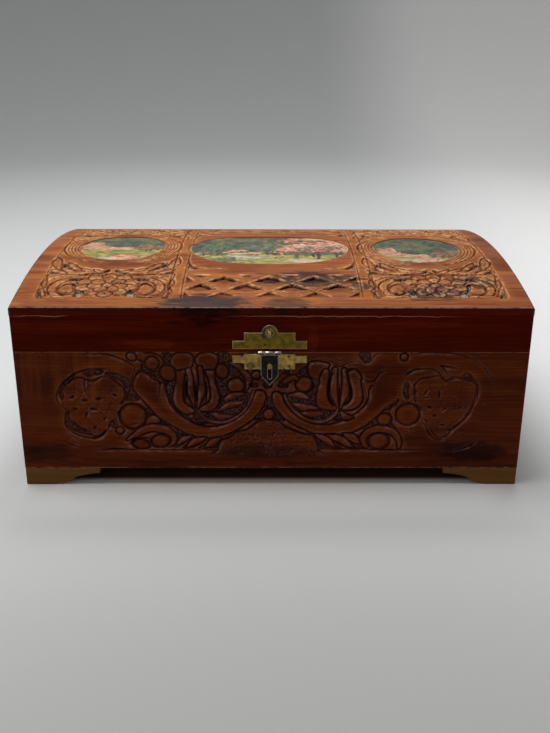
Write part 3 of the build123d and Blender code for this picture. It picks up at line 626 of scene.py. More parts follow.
def carveRight(p):
    # arcs round the medallion
    cutLine(p, [(59.4, 80.6), (59.8, 84), (62, 86.6), (68, 87.6)], [0.4, 1.0, 1.0, 0.3], 0.6)
    cutLine(p, [(81, 86), (86, 87.2), (93, 87.7), (101, 87.6), (108, 87), (114, 85.4), (120, 82.6),
            (126.4, 77.4), (131.4, 71.2), (134.2, 66), (135.2, 60)], [0.5, 1.1, 1.2, 1.3, 1.3, 1.2, 1.1, 0.9,
            0.8, 0.6, 0.2], 0.8)
    cutLine(p, [(79.2, 72.4), (81.7, 74.7), (85, 76.6), (90, 77.2), (95, 77), (98.6, 75.4), (101.2, 72.4),
            (101.8, 70.4)], [0.8, 1.9, 1.8, 1.5, 1.5, 1.4, 1.4, 0.6], 1.2)
    cutLine(p, [(97.6, 79.4), (102, 78.9), (106, 78.3), (110.8, 77.4)], [0.5, 1.8, 1.9, 0.4], 1.2)
    cutLine(p, [(101, 78.6), (103, 76.4), (105, 73.8)], [1.4, 1.4, 0.6], 1.1)
    cutLine(p, [(105.8, 70.4), (107.4, 72), (111, 71.9), (115, 71.2), (119.2, 70.4), (122, 68.6), (123.6, 66),
            (123.8, 62), (123.7, 58.4), (122.3, 55.4), (121, 51.4), (118.9, 46.8), (116, 42.8), (112.8, 40),
            (110, 37.2)], [0.8, 1.7, 1.5, 1.5, 1.9, 1.8, 1.6, 1.6, 1.5, 1.4, 1.4, 1.4, 1.5, 1.8, 1.5], 1.1)
    cutLine(p, [(126.4, 58.4), (127.4, 55.4), (127.2, 51.8)], [0.3, 1.0, 0.3], 0.5)
    # ground
    pockets = [
        [(115, 74.8), (118, 74.4), (120.4, 71.6), (119.6, 70.6), (114.2, 71.8)],
        [(80.2, 69), (82.6, 67.6), (82.2, 63), (83, 58), (80.4, 57.6), (78.8, 61), (79, 65.6)],
        [(51.4, 87.2), (58, 87.2), (58.8, 82), (56.6, 80.6), (53, 82.6)],
        [(14.6, 74), (16.2, 76.4), (20.6, 79), (20.8, 75.4), (20.2, 72.6), (17.4, 73)],
        [(6.4, 75.6), (9.8, 77.4), (11, 73.8), (8, 73)],
        [(23.6, 70.4), (28.2, 70), (27.4, 64), (26, 58), (26.8, 53.8), (24.4, 54.8), (22.6, 59.6), (24, 62.4),
         (25.2, 66)],
        [(7, 60.4), (12, 61.6), (21.6, 61.6), (24.6, 57.2), (28.2, 52.6), (31.6, 50.6), (37.4, 49.8),
         (35, 46.2), (30, 44),
         (24.2, 44.4), (18.6, 47.2), (13, 51.4), (9.4, 56)],
        [(39.4, 46.6), (42.4, 46.4), (44.4, 43.8), (41, 42.6), (37.4, 43)],
        [(60, 41.6), (61.2, 44.2), (64, 44), (65, 41), (62.4, 40)],
        [(53, 39), (56, 41.6), (60, 41.6), (57.4, 38.8), (53.4, 36.6), (50.6, 35.6)],
        [(29.4, 24.6), (28.8, 29), (31.4, 28), (36, 25), (33, 24.6)],
        [(38.6, 24.6), (39.8, 27.2), (43.6, 24.6)],
        [(48.4, 26.4), (51, 27.8), (54.2, 26.8), (57.6, 24.4), (53, 24.4), (49.4, 24.4)],
        [(71, 50.6), (73.4, 52.8), (76.2, 54.6), (72.6, 55.2), (68.6, 52.2), (67.6, 49.6)],
        [(72.8, 44.6), (73.8, 40.6), (77, 37.4), (74, 38.8), (70.6, 39.4), (71.8, 41.6)],
    ]
    for outline in pockets:
        sink(p, area(p, outline), 1.3)
    # grape cluster, more worn than the left one
    raiseArea(p, [(85.8, 67.4), (90, 71), (95.6, 72.2), (100.4, 72.6), (104, 69.6), (108, 70.8), (114, 70.6),
            (119.6, 69), (122.6, 66), (122.6, 60), (121.4, 55.6), (120, 50.6), (117.6, 46), (114.4, 42.2),
            (110.6, 38.6), (107.4, 34), (103.6, 32), (100, 33.6), (97.4, 37), (95, 41.6), (92, 46),
            (90.6, 50.4), (87.4, 54.6), (86, 58.6), (85.6, 63)], top=-0.05, crown=2.4, cut=1.0)
    for x, z, r in [(92, 65.6, 5.4), (98.4, 66.4, 4.4), (110.6, 65.4, 5.4), (117.2, 63.6, 4.6),
            (104.4, 62, 4.2), (97.4, 56.4, 4.6), (90.6, 56, 3.6), (106.6, 54.6, 4.6), (114.6, 55.6, 4.6),
            (101.4, 48, 4.8), (94.2, 48, 3.8), (110.6, 47.2, 4.6), (105.8, 41.6, 4.0), (98.2, 41.2, 3.6),
            (103, 35.6, 3.2)]:
        raiseOval(p, x, z, r, top=-0.03, crown=r * 0.9, cut=0.3, side=0.5)
    for x, z, long, wide, turn, depth in [
            (92.4, 62, 5.4, 1.5, 62, 1.0), (100.6, 60.4, 6.0, 1.6, 86, 1.1), (86.3, 62.4, 3.0, 1.6, 70, 1.0),
            (110.2, 57.8, 2.0, 1.4, 0, 0.7), (95.4, 52.2, 4.0, 2.0, -20, 1.1), (104.4, 51.2, 5.0, 1.4, 35,
             0.9),
            (113.9, 52.2, 3.0, 1.6, 30, 0.8), (98.8, 46.8, 3.6, 2.0, 0, 0.9), (118.6, 47.2, 2.2, 2.0, 0, 0.8),
            (103.9, 40.6, 4.0, 1.4, 0, 1.1), (108.4, 37.2, 3.0, 2.0, 10, 1.0), (93, 58.6, 4.6, 1.2, 0, 0.8)]:
        nick(p, x, z, long, wide, turn, depth)
    cutLine(p, [(89.4, 51.6), (90, 47.8), (91.6, 43), (93.9, 39.6), (95.6, 35.6), (97.8, 32.8), (100.6, 31.2),
            (104, 30.7), (108.4, 30.4)], [0.8, 0.9, 0.8, 1.2, 1.7, 1.6, 1.3, 1.1, 0.4], 1.1)
    cutLine(p, [(111, 31.3), (114, 32.3), (116.2, 34.1), (119, 35.6), (121.2, 36.8)],
            [0.5, 1.1, 1.1, 0.9, 0.3], 0.7)
    cutLine(p, [(126, 31.4), (123.9, 28.2), (120.5, 26.1), (117, 24.6), (113, 23.7), (108, 22.8)],
            [0.5, 1.5, 1.7, 1.3, 1.0, 0.3], 0.8)
    nick(p, 85, 37.8, 3.4, 1.3, 90, 0.7)
    # big curl: a ball inside a ring
    cutLine(p, [(76.4, 54.8), (72.2, 51.4), (71, 47.4), (72.4, 42.8), (75.2, 38.8), (79, 36.4)],
            [0.5, 1.1, 1.4, 1.5, 1.6, 0.6], 1.0)
    raiseOval(p, 82.4, 47.6, 7.4, 7.2, crown=4.0, cut=1.1, side=0.9)
    cutLine(p, [(80, 55.8), (84.6, 54.6), (88.2, 51.6), (89.6, 47.4), (88.8, 42.6)],
            [0.4, 1.1, 1.3, 1.2, 0.5], 0.8)
    raiseOval(p, 68.3, 44.2, 4.5, 4.2, crown=2.8, cut=1.5)
    # lower scroll
    raiseStroke(p, [(78.4, 25.6), (77.9, 30), (75.4, 34.4), (70.6, 37), (65, 37.6), (59.6, 36.2),
            (56.2, 32.4), (56.2, 28.4), (58.2, 25.6)], [2.4, 3.6, 4.4, 4.8, 5.0, 4.8, 4.4, 3.6, 2.4],
            crown=1.6, cut=1.3)
    raiseOval(p, 65.6, 29.6, 6.5, 5.6, crown=4.0, cut=1.4)
    cutLine(p, [(77, 38.4), (82, 36.2), (88, 35), (93, 34.4)], [0.5, 0.9, 0.8, 0.2], 0.45)
    raiseOval(p, 78.3, 84.7, 2.3, crown=1.8, cut=1.3)
    # the U-shaped band
    raiseArea(p, [(0.2, 58), (1.4, 53), (4.4, 48.8), (8.4, 44.4), (13.4, 40.8), (19, 37.8), (25.4, 34.6),
            (31, 33.6), (40, 33.3), (48, 34.8), (54, 38.3), (59.4, 42), (65, 47.4), (70, 52.6), (76, 56.4),
            (74, 59.2), (66, 62), (60.4, 66.4), (58.4, 62.8), (58.4, 58.4), (56.2, 53.6), (52, 49),
            (46.6, 45.2), (41, 42.4), (34, 40.8), (27, 41.2), (20.4, 43.2), (14.6, 46.8), (10.4, 51.2),
            (7.4, 56), (6, 60.6), (3.4, 62.6), (0.6, 61.6)], top=0.0, crown=1.5, cut=1.4, side=0.9)
    place, inside = area(p, [(58.2, 57), (59.6, 67), (66, 70), (77.6, 74), (79, 62), (76, 56), (70, 54),
            (62, 52)])
    height = p["height"][place]
    p["height"][place] = np.where(inside > 0, height * (1 - np.clip(inside / 2.5, 0, 1)), height)
    cutLine(p, [(54, 72), (55.4, 70.2), (58, 69.2), (60.8, 69.4), (62.4, 71.2), (64.4, 74.6), (69.4, 77)],
            [0.6, 1.2, 1.3, 1.4, 1.5, 1.4, 0.5], 1.0)
    cutLine(p, [(20, 40.4), (28, 37.4), (36, 36.8), (45, 38), (52, 41.4)], [0.3, 1.3, 1.5, 1.3, 0.3], 0.25)
    # tulip
    raiseArea(p, [(21.4, 79.4), (23.2, 81.6), (28, 82), (34, 80.4), (33.4, 76.6), (32.6, 71.4), (27.8, 70),
            (24, 71), (21.6, 74.4)], crown=2.0, cut=1.3)
    cutLine(p, [(24, 81.4), (30, 83.6), (36, 81.6), (40.4, 78.6), (45, 81.2), (51, 82), (58, 80.2)],
            [0.3, 1.0, 1.0, 1.3, 1.0, 1.0, 0.3], 0.7)
    cutLine(p, [(36, 85.4), (38.6, 83.6), (40.4, 82.4), (42.4, 83.8), (46, 85.4)], [0.3, 0.9, 1.2, 0.9, 0.3],
            0.6)
    raiseArea(p, [(28.4, 71.4), (28.6, 69), (27.2, 63), (26.5, 57.4), (27.2, 53.6), (30.2, 51), (34.6, 49.8),
            (38.8, 50.2), (39.4, 52), (36.4, 54.8), (34.2, 59.4), (33.4, 65), (34.2, 70.6), (34, 76),
            (31, 77)], crown=2.2, cut=1.3)
    raiseArea(p, [(53.6, 72), (53.2, 69), (54.4, 63), (54.9, 58), (53.4, 53.6), (50, 51), (45.6, 50),
            (42, 50.6), (41.6, 52.4), (44.6, 54.6), (47.6, 58), (48, 63), (46.4, 69), (44.4, 73.6), (46, 77),
            (50.4, 76.6)], crown=2.2, cut=1.3)
    cutLine(p, [(53.8, 70.6), (55.4, 65), (57, 58.6), (56, 54)], [0.6, 1.0, 0.9, 0.4], 0.7)
    raiseStroke(p, [(37.6, 76.6), (37.2, 70), (37.2, 62), (40, 51.6)], [3.4, 4.2, 4.6, 1.2], crown=1.8,
            cut=1.2)
    raiseStroke(p, [(43, 76.4), (44, 70), (44.2, 62), (41.4, 51.6)], [3.0, 4.0, 4.6, 1.2], crown=1.8, cut=1.2)
    for points in ([(37, 75), (35.2, 71.6), (34.4, 66), (33.8, 61), (34.6, 57), (37, 52.6)],
                   [(44.4, 74), (45.6, 70), (47, 64.6), (47.7, 60), (46.8, 56.4), (44.2, 53.2)]):
        cutLine(p, points, [0.7, 1.5, 2.0, 2.2, 2.0, 0.8], 2.1)
    cutLine(p, [(40.5, 68), (40.7, 62), (40.9, 55.4)], [0.5, 1.8, 0.9], 2.0)
    cutLine(p, [(44, 74.6), (46.6, 76), (50.6, 77.2)], [1.0, 1.6, 0.3], 1.2)
    # small forms round it
    raiseOval(p, 19.2, 67.2, 5.3, 5.1, crown=3.4, cut=1.5)
    raiseStroke(p, [(5, 66.8), (9, 69.8), (12.6, 71.6), (15.2, 70.6)], [2.4, 3.6, 3.8, 2.4], crown=1.6,
            cut=1.0)
    cutLine(p, [(10, 62.4), (14, 61.4), (19, 61.2), (23.4, 62.8), (24.9, 66.4), (24.2, 70)],
            [0.8, 1.4, 1.6, 1.6, 1.5, 0.6], 1.2)
    cutLine(p, [(4, 72.2), (7.4, 75.6), (11, 78.6), (14.6, 80)], [0.4, 0.9, 0.9, 0.3], 0.7)
    cutLine(p, [(14.6, 73.6), (18.6, 77), (21.4, 79.8)], [0.8, 1.2, 0.6], 1.0)
    raiseLeaf(p, 8.6, 60, 23.8, 57.4, 4.4, 0.1, crown=1.9, cut=1.5)
    raiseLeaf(p, 11.6, 54.8, 29.2, 51, 4.8, -0.06, crown=1.9, cut=1.5)
    raiseLeaf(p, 17.6, 48.4, 32.8, 48.2, 5.0, -0.04, crown=1.9, cut=1.5)
    raiseStroke(p, [(7.4, 61), (9.4, 55.6), (13.4, 50), (18.6, 45.6), (24.4, 43), (30, 42.4), (35, 44.2),
            (38.4, 47.4), (39.8, 50.6)], [1.6, 1.8, 2.0, 2.1, 2.3, 2.4, 2.4, 2.3, 1.6], top=-0.1, crown=1.0,
            cut=1.2, side=0.6)
    raiseLeaf(p, 41.2, 49.6, 49.6, 45.4, 4.4, -0.2, crown=1.8, cut=1.3)
    for x0, z0, x1, z1, width in [(26, 34.4, 39.4, 25.2, 4.8), (33.2, 34.2, 50.2, 24.8, 5.2),
            (43.4, 34.8, 54.6, 27.4, 5.4)]:
        raiseLeaf(p, x0, z0, x1, z1, width, 0.06, crown=2.0, cut=1.5)
    cutLine(p, [(28.6, 24.3), (40, 24.2), (52, 24.2), (66, 23.7), (76, 23.7), (83.4, 23.5)],
            [0.6, 1.2, 1.2, 1.2, 1.0, 0.5], 1.0)


def carveMiddle(p):
    # stippled mound under the arch, the ball, and the crossbar above
    mound = area(p, [(-33.4, 18.4), (-33, 24), (-32.2, 27.4), (-30, 30.5), (-25, 32.8), (-21, 36),
            (-16, 37.2), (-11.7, 40), (-8.3, 42.9), (-1.7, 44.2), (4, 43), (8.4, 39.6), (14, 36.8),
            (20, 34.6), (25, 33.6), (27.6, 29.6), (28.6, 24), (28.8, 18.4)])
    raiseUp(p, mound, top=-0.15, crown=2.2, cut=1.4, side=0.9)
    place, inside = mound
    p["punched"][place] = np.maximum(p["punched"][place], 0.3 * np.clip(inside - 1, 0, 1))
    p["height"][:, :] = np.where(p["z"] < 24.2, p["height"] * np.clip((p["z"] - 20) / 4.2, 0, 1), p["height"])
    for outline in ([(-4.3, 56.4), (-1.7, 59.4), (0.6, 56.4), (1.4, 51.8), (-1.7, 50.6), (-4.8, 51.9)],
            [(-6.6, 48.4), (-5, 45), (-8.8, 43.6), (-11.4, 44.5)], [(3, 48.4), (1.8, 45), (5.6, 43),
            (8.6, 43.8)]):
        sink(p, area(p, outline), 1.6)
    raiseOval(p, -1.7, 47.6, 3.7, crown=2.8, cut=1.5)
    for left, right in [(-13, -8.6), (-4.9, -0.2), (4.8, 9.4)]:
        sink(p, area(p, [(left - 0.4, 68.0), (right + 0.4, 67.8), (right, 64.8), (left + 0.2, 65.1)]), 1.9,
                wall=0.4)
    raiseOval(p, -9.2, 73.2, 2.8, crown=2.2, cut=1.2)
    cutLine(p, [(-16.6, 69.4), (-9, 69.9), (0, 69.6), (8, 69.4)], [0.4, 1.0, 1.0, 0.4], 0.7)
    cutLine(p, [(-14.6, 64.4), (-9, 63.4), (-5.4, 62.6)], [0.4, 1.2, 0.4], 0.8)
    cutLine(p, [(2, 62.4), (6, 61.2), (10, 61.6)], [0.4, 1.4, 0.8], 0.9)


def carveBorder(p):
    # a soft step down to the plain band along the bottom
    x, z = p["x"], p["z"]
    reach = np.clip((x + 112) / 12, 0, 1) * np.clip((96 - x) / 12, 0, 1)
    step = np.clip(1 - np.abs(z - 23.9) / 0.7, 0, 1)
    p["height"][:, :] = np.minimum(p["height"], -0.75 * step * reach)


def finishRelief(p, seed, fade, deep, light, rim):
    # punch marks in the ground, then where dirt and dust gather and where the varnish is rubbed or thick;
    # light and rim say which way the painted shade on the sides and the painted highlights on the lips of the
    # cuts look
    rng = np.random.default_rng(seed)
    dots = soften(rng.random(p["height"].shape), 1)
    pocket = p["punched"]
    p["height"] -= 0.9 * np.clip((dots - 0.55) / 0.12, 0, 1) * pocket
    p["height"] *= fade
    rough = p["height"]
    p["height"] = soften(rough, 1) * 0.5 + rough * 0.5
    near, wide = soften(rough, 4), soften(rough, 100)
    alongX, alongZ = np.gradient(soften(rough, 2), p["step"])
    steep = np.clip(np.hypot(alongX, alongZ) / 1.6, 0, 1)
    below = np.clip((-rough - 0.2) / 1.0, 0, 1)
    shaded = alongX * light[0] + alongZ * light[1]
    lipped = -alongX * rim[0] - alongZ * rim[1]
    uneven = [soften(rng.random(rough.shape), passes) for passes in (12, 8)]
    uneven = [np.clip(0.75 + 0.28 * (field - field.mean()) / field.std(), 0.35, 1.15) for field in uneven]
    # painted shade: grooves and cut walls are darker where they turn away from the light
    groove = 1.1 * np.clip((near - rough) / 0.42, 0, 1) * np.clip(0.7 + shaded, 0.45, 1) * uneven[0]
    wall = 0.95 * np.clip(shaded / 0.9, 0, 1) * np.clip(-rough / 0.35, 0, 1) * uneven[0]
    p["cavity"] = np.clip(np.maximum(deep * below, np.maximum(groove, wall)), 0, 1)
    # pale lips: worn edges, and a painted highlight where they face rim
    worn = np.clip((rough - near) / 0.14, 0, 1) * np.clip(1.6 + rough / 0.5, 0, 1)
    p["wear"] = np.clip(worn * np.clip(0.6 + 1.2 * lipped, 0.25, 1) * uneven[1], 0, 1)
    p["dust"] = pocket * np.clip(-rough / 0.8, 0, 1) * (1 - steep * 0.7)
    p["crown"] = np.clip(1.1 + rough / 0.5, 0, 1) * np.clip((-wide - 0.06) / 0.16, 0, 1)


def ring(p, x, z, wide, tall, width, depth, fadeFrom, fadeTo):
    # an oval V groove that fades out towards its nearest and furthest points
    place, inside = oval(p, x, z, wide, tall, margin=3)
    share = np.clip(1 - np.abs(inside) / (width / 2), 0, 1)
    dx, dz = (p["x"][place] - x) / wide, (p["z"][place] - z) / tall
    sideways = np.abs(dx) / (np.hypot(dx, dz) + 1e-6)
    share = share * np.clip((sideways - fadeFrom) / (fadeTo - fadeFrom), 0, 1)
    p["height"][place] = np.minimum(p["height"][place], -depth * share)


def chip(p, outline, depth, shallow=0.25):
    # a chip cut: deepest along its far edges, running out towards its nearest point
    place, inside = area(p, outline, closedSmooth=False)
    far, near = max(v for _, v in outline), min(v for _, v in outline)
    slope = np.clip((p["z"][place] - near) / (far - near), 0, 1)
    cut = -(shallow + (depth - shallow) * slope) * np.clip(inside / 0.8, 0, 1)
    p["height"][place] = np.minimum(p["height"][place], cut)


def carveFlowerCorner(p, side):
    # one corner of the top: side is -1 left, 1 right; distances are from the middle and from the front edge
    middle, heart = 99.6, 30.0

    def at(x, v):
        return side * x, v

    def outline(points, flip=1):
        return area(p, [at(middle + flip * a, v) for a, v in points])

    def band(points, widths, flip=1):
        return stroke(p, [at(middle + flip * a, v) for a, v in points], widths)

    # leaves between the oval's frame, the border and the scrolls
    for flip in (-1, 1):
        bend = flip * side
        for a0, v0, a1, v1, width, curve in [
                (39, 78, 34, 54, 6.4, 0.05), (30, 67, 19, 51.4, 5.4, 0.08), (33.6, 58, 22, 49.6, 5.0, 0.08),
                (21, 56.6, 10.4, 50.4, 4.4, 0.1), (12.4, 54.6, 3.4, 49, 3.8, 0.12),
                 (39, 54, 28, 47.6, 5.0, 0.05),
                (38.8, 38, 37.2, 25, 3.4, 0.05), (38.4, 25, 35, 14, 4.0, 0.1)]:
            raiseLeaf(p, *at(middle + flip * a0, v0), *at(middle + flip * a1, v1), width, curve * bend,
                    crown=2.2, cut=1.2, side=0.7)
        # a long leaf over the scroll
        raiseUp(p, outline([(3.6, 48.4), (12, 47.4), (20, 46), (30, 46.2), (38.6, 47), (38.8, 41), (37, 35.4),
                            (33.6, 38), (28, 41.4), (20, 44), (11, 46)], flip), crown=2.4, cut=1.2, side=0.7)
        cutLine(p, [at(middle + flip * a, v) for a, v in [(10, 46.6), (20, 45.2), (30, 43.8), (36.6, 42.6)]],
                [0.4, 0.9, 0.9, 0.3], 0.5)
        # the comma scroll: a band round a bulb
        raiseUp(p, band([(6, 45), (14.4, 42.4), (22, 39.2), (28.4, 35), (31.8, 29.4), (32.2, 23), (30, 17.2),
                (24.6, 14.6)], [1.6, 3.4, 4.6, 5.4, 5.6, 5.4, 4.6, 2.0], flip), crown=2.0, cut=1.5, side=0.8)
        raiseOval(p, *at(middle + flip * 23.2, 24), 5.8, 7.2, 14 * bend, crown=3.4, cut=1.5)
        raiseUp(p, band([(16.6, 15.4), (22, 13.9), (28, 13.7), (34, 14.6)], [1.4, 2.8, 2.8, 1.2], flip),
                crown=1.4, cut=1.1)
    # flower: two rings of rounded petals round a small heart
    for count, start, away, size, cut in [(10, 18, (14.2, 11.9), (5.6, 4.7), 1.35),
            (7, 90, (7.9, 6.7), (4.5, 3.9), 1.1)]:
        for k in range(count):
            turn = np.radians(start + 360 / count * k)
            x, v = middle + away[0] * np.cos(turn), heart + away[1] * np.sin(turn)
            raiseOval(p, *at(x, v), *size, side * np.degrees(turn), crown=2.6, cut=cut, side=0.8)
            mark = [(middle + away[0] * r * np.cos(turn), heart + away[1] * r * np.sin(turn)) for r in (0.8,
                    1.0, 1.25)]
            cutLine(p, [at(*place) for place in mark], [0.4, 1.1, 0.3], 0.45)
    raiseOval(p, *at(middle, heart), 3.3, 3.0, crown=2.4, cut=1.2)
    for dx, dv in [(-1.2, 0.6), (1.1, 0.9), (0.1, -1.3)]:
        nick(p, *at(middle + dx, heart + dv), 1.1, 1.1, 0, 0.6)
    # pits in the ground
    for flip in (-1, 1):
        for points in (
                [(39.2, 11.4), (34.6, 11.8), (36.8, 14.4), (38.6, 21)],
                [(21.6, 31), (19.8, 29.8), (18.4, 22.6), (16.8, 20.8), (12.6, 20.6), (13, 13.4), (18, 13.2),
                 (17.6, 18),
                 (19.4, 22)],
                [(32.6, 63.6), (30, 62), (29.6, 57.6), (33.6, 57.2)],
                [(28.6, 59), (27, 58.4), (23.4, 51.2), (24.8, 51.6), (27.6, 54.6)],
                [(4.4, 52.8), (1.6, 53.6), (2.4, 48.8), (5.4, 49.2)],
                [(37.4, 51.2), (34, 49.4), (33, 47.8), (38.6, 48)],
                [(24.6, 38), (18.6, 39.4), (16.2, 37.6), (22, 34.6)]):
            sink(p, outline(points, flip), 1.6, wall=0.5)


def carveLattice(p):
    # rows of diamond chip cuts under the middle picture, between the two divider bands
    across, tall = 27.8, 12.6
    for start, apex in [(-57.2, 43.0), (-43.2, 31.6), (-57.2, 20.2)]:
        for k in range(5):
            x = start + across * k
            low = max(apex - tall, 12.2)
            shoulder = apex - 0.64 * tall
            points = [(x, apex), (x + 10.4, shoulder), (x, low), (x - 10.4, shoulder)]
            points = [(np.clip(a, -52.6, 52.6), max(v, low)) for a, v in points]
            if abs(x) < 62:
                chip(p, points, 1.6)
                for (a, b), (c, d) in ((points[1], points[2]), (points[2], points[3])):
                    cutLine(p, [(a, b), ((a + c) / 2, (b + d) / 2), (c, d)], [0.5, 0.8, 0.5], 0.4)
    # the zigzag lines that tie the rows together
    for start, apex in [(-57.2, 41.6), (-43.2, 30.2)]:
        zigzag = []
        for k in range(-1, 10):
            x = start + across / 2 * k
            if abs(x) < 53:
                zigzag.append((x, apex if k % 2 == 0 else apex - 11.4))
        for a, b in zip(zigzag, zigzag[1:]):
            cutLine(p, [a, ((a[0] + b[0]) / 2, (a[1] + b[1]) / 2), b], [1.0, 1.3, 1.0], 0.8)
    for k in range(4):
        x = -43.2 + across * k
        chip(p, [(x - 6.4, 44.6), (x + 6.4, 44.6), (x, 39.6)], 1.1)
        nick(p, x, 35.4, 2.2, 1.2, 0, 0.5)
    for side in (-1, 1):
        for x, width, depth in [(61.8, 1.0, 0.9), (53.8, 1.0, 0.7)]:
            cutLine(p, [(side * x, 12), (side * (x + 0.3), 40), (side * x, 66), (side * x, 101.6)], width,
                    depth)
        chip(p, [(side * 53, 41), (side * 48.4, 38), (side * 52.8, 34)], 1.0)
    # gouged corners of the middle oval's frame
    for side in (-1, 1):
        cutLine(p, [(side * 53.2, 72), (side * 52.6, 65), (side * 50, 59.6), (side * 45.6, 56),
                (side * 40, 54.4)], [0.6, 2.0, 2.8, 2.6, 0.6], 1.5)
        sink(p, area(p, [(side * 52.6, 64), (side * 50.6, 58.6), (side * 45.4, 55.6), (side * 52.4, 52.6)]),
                1.2)
        cutLine(p, [(side * 39, 54.4), (side * 33, 54.6), (side * 27, 54.4)], [0.5, 1.4, 0.4], 0.7)


def carveFrames(p):
    # grooves round the side pictures, and two fainter ones at the ends of the middle picture
    for x, v in ((-100.4, 104.6), (97.8, 100.2)):
        wide, tall = 28.5, 33.4
        for away, width, depth in [(1.6, 1.1, 0.7), (3.7, 1.1, 0.7), (5.9, 1.1, 0.7), (8.1, 1.1, 0.6)]:
            ring(p, x, v, wide + away, tall + away, width, depth, 0.05, 0.55)
        ring(p, x, v, wide + 10.8, tall + 6.4, 1.9, 1.5, 0.22, 0.4)
    for away, width, depth in [(1.6, 1.1, 0.5), (4.0, 1.1, 0.5)]:
        ring(p, -1.3, 101.5, 53.3 + away * 0.4, 37.5 + away, width, depth, 0.5, 0.9)


topGouging = {"seed": 17, "deeper": 1.25, "leafMarks": 520, "latticeMarks": 150}


def carveTop(p):
    # the front half is drawn and mirrored to the back
    for side in (-1, 1):
        carveFlowerCorner(p, side)
    carveLattice(p)
    # deeper, and with stray gouge marks in the sunk ground between the leaves
    p["height"] *= topGouging["deeper"]
    rng = np.random.default_rng(topGouging["seed"])
    for _ in range(topGouging["leafMarks"]):
        x, v = rng.uniform(58, 138) * rng.choice((-1, 1)), rng.uniform(12, 72)
        turn, size = rng.uniform(-60, 60), rng.uniform(0.6, 1.3)
        place, _ = oval(p, x, v, 0.6)
        if p["height"][place].min() < -0.25:
            nick(p, x, v, 3.0 * size, 1.1 * size, turn, 0.7)
    for _ in range(topGouging["latticeMarks"]):
        nick(p, rng.uniform(-52, 52), rng.uniform(13, 44), rng.uniform(2, 4.5), rng.uniform(0.8, 1.3),
                rng.choice((-1, 1)) * rng.uniform(20, 50), rng.uniform(0.3, 0.7))
    for name in ("height", "punched"):
        half = p[name][:, :(p[name].shape[1] + 1) // 2]
        p[name] = np.concatenate([half, half[:, -2::-1]], axis=1)
    carveFrames(p)
    # broken border line at the ends of the field
    x, v = np.abs(p["x"]), boxMiddle - boxFront - np.abs(p["z"] - boxMiddle + boxFront)
    near = np.clip(1 - np.abs(x - 139.6) / 0.7, 0, 1) * (v > 11.4)
    p["height"][:, :] = np.minimum(p["height"], -0.9 * near * np.clip(0.7 + 0.5 * np.sin(v * 0.9), 0, 1))


# ---- shared shader groups ----

def newGroup(name, inputs, outputs):
    tree = bpy.data.node_groups.new(name, "ShaderNodeTree")
    for socket, kind in inputs.items():
        tree.interface.new_socket(socket, in_out="INPUT", socket_type="NodeSocket" + kind)
    for socket, kind in outputs.items():
        tree.interface.new_socket(socket, in_out="OUTPUT", socket_type="NodeSocket" + kind)
    t = Tree(tree)
    return t, tree.nodes.new("NodeGroupInput").outputs, tree.nodes.new("NodeGroupOutput").inputs


def makeGrainGroup():
    # solid cedar, grain along X, sizes in millimetres: growth rings, fibres, broad colour and small checks
    t, given, out = newGroup(
        "cedarGrain",
        {"Place": "Vector", "Ring": "Float", "Light": "Color", "Dark": "Color", "Heart": "Color",
            "Heartwood": "Float"},
        {"Color": "Color", "Height": "Float", "Fibre": "Float"},
    )
    place = given["Place"]
    drift = t.node("TexNoise", {}, Vector=t.scaled(place, 0.006, 0.022, 0.022), Scale=1.0,
            Detail=2.0).outputs["Color"]
    drift = t.scaled(t.vector("SUBTRACT", drift, (0.5, 0.5, 0.5)), 0, 18, 18)
    bent = t.vector("ADD", place, drift)
    across = t.vector("LENGTH", t.scaled(bent, 0, 1, 1))
    wobble = t.noise(t.scaled(bent, 0.02, 0.12, 0.12), 1.0, 2.0)
    rings = t.plus(t.math("DIVIDE", across, given["Ring"]), t.times(wobble, 2.2))
    saw = t.math("FRACT", rings)
    late = t.times(t.span(saw, 0.35, 0.92), t.span(saw, 1.0, 0.93))
    fibre = t.noise(t.scaled(bent, 0.05, 2.6, 2.6), 1.0, 4.0, 0.65)
    streak = t.noise(t.scaled(bent, 0.010, 0.34, 0.34), 1.0, 3.0, 0.6)
    broad = t.noise(t.scaled(bent, 0.008, 0.035, 0.035), 1.0, 3.0, 0.55)
    tone = t.plus(t.times(late, 0.35), t.times(t.span(streak, 0.3, 0.7), 0.6))
    tone = t.plus(tone, t.times(t.minus(fibre, 0.5), 0.7), clamp=True)
    colour = t.blend(tone, given["Light"], given["Dark"])
    heart = t.times(t.span(broad, 0.52, 0.66), given["Heartwood"])
    t.put(out["Color"], t.blend(heart, colour, given["Heart"]))
    t.put(out["Height"], t.plus(t.times(late, 0.4), t.times(fibre, 0.8)))
    t.put(out["Fibre"], fibre)
    return t.tree


def makeSpotGroup():
    # a soft oval patch with a ragged edge, for stains and worn places
    t, given, out = newGroup(
        "raggedSpot", {"Place": "Vector", "Centre": "Vector", "Size": "Vector", "Ragged": "Float"},
            {"Mask": "Float"}
    )
    away = t.vector("LENGTH", t.vector("DIVIDE", t.vector("SUBTRACT", given["Place"], given["Centre"]),
            given["Size"]))
    edge = t.noise(t.scaled(given["Place"], 0.09, 0.42, 0.42), 1.0, 5.0, 0.65)
    away = t.plus(away, t.times(t.minus(edge, 0.5), given["Ragged"]))
    t.put(out["Mask"], t.span(away, 1.02, 0.66))
    return t.tree


def makeEdgeGroup():
    # rubbed edges on metal, painted pale as highlights too: where a rounded normal leaves the true one
    t, given, out = newGroup("rubbedAndLitEdge", {"Radius": "Float", "Place": "Vector"}, {"Mask": "Float"})
    rounded = t.node("Bevel", {"samples": 6}, Radius=given["Radius"]).outputs["Normal"]
    true = t.node("NewGeometry").outputs["Normal"]
    turned = t.minus(1.0, t.vector("DOT_PRODUCT", rounded, true))
    uneven = t.noise(given["Place"], 2200.0, 2.0)
    t.put(out["Mask"], t.times(t.span(turned, 0.02, 0.12), t.span(uneven, 0.3, 0.5)))
    return t.tree


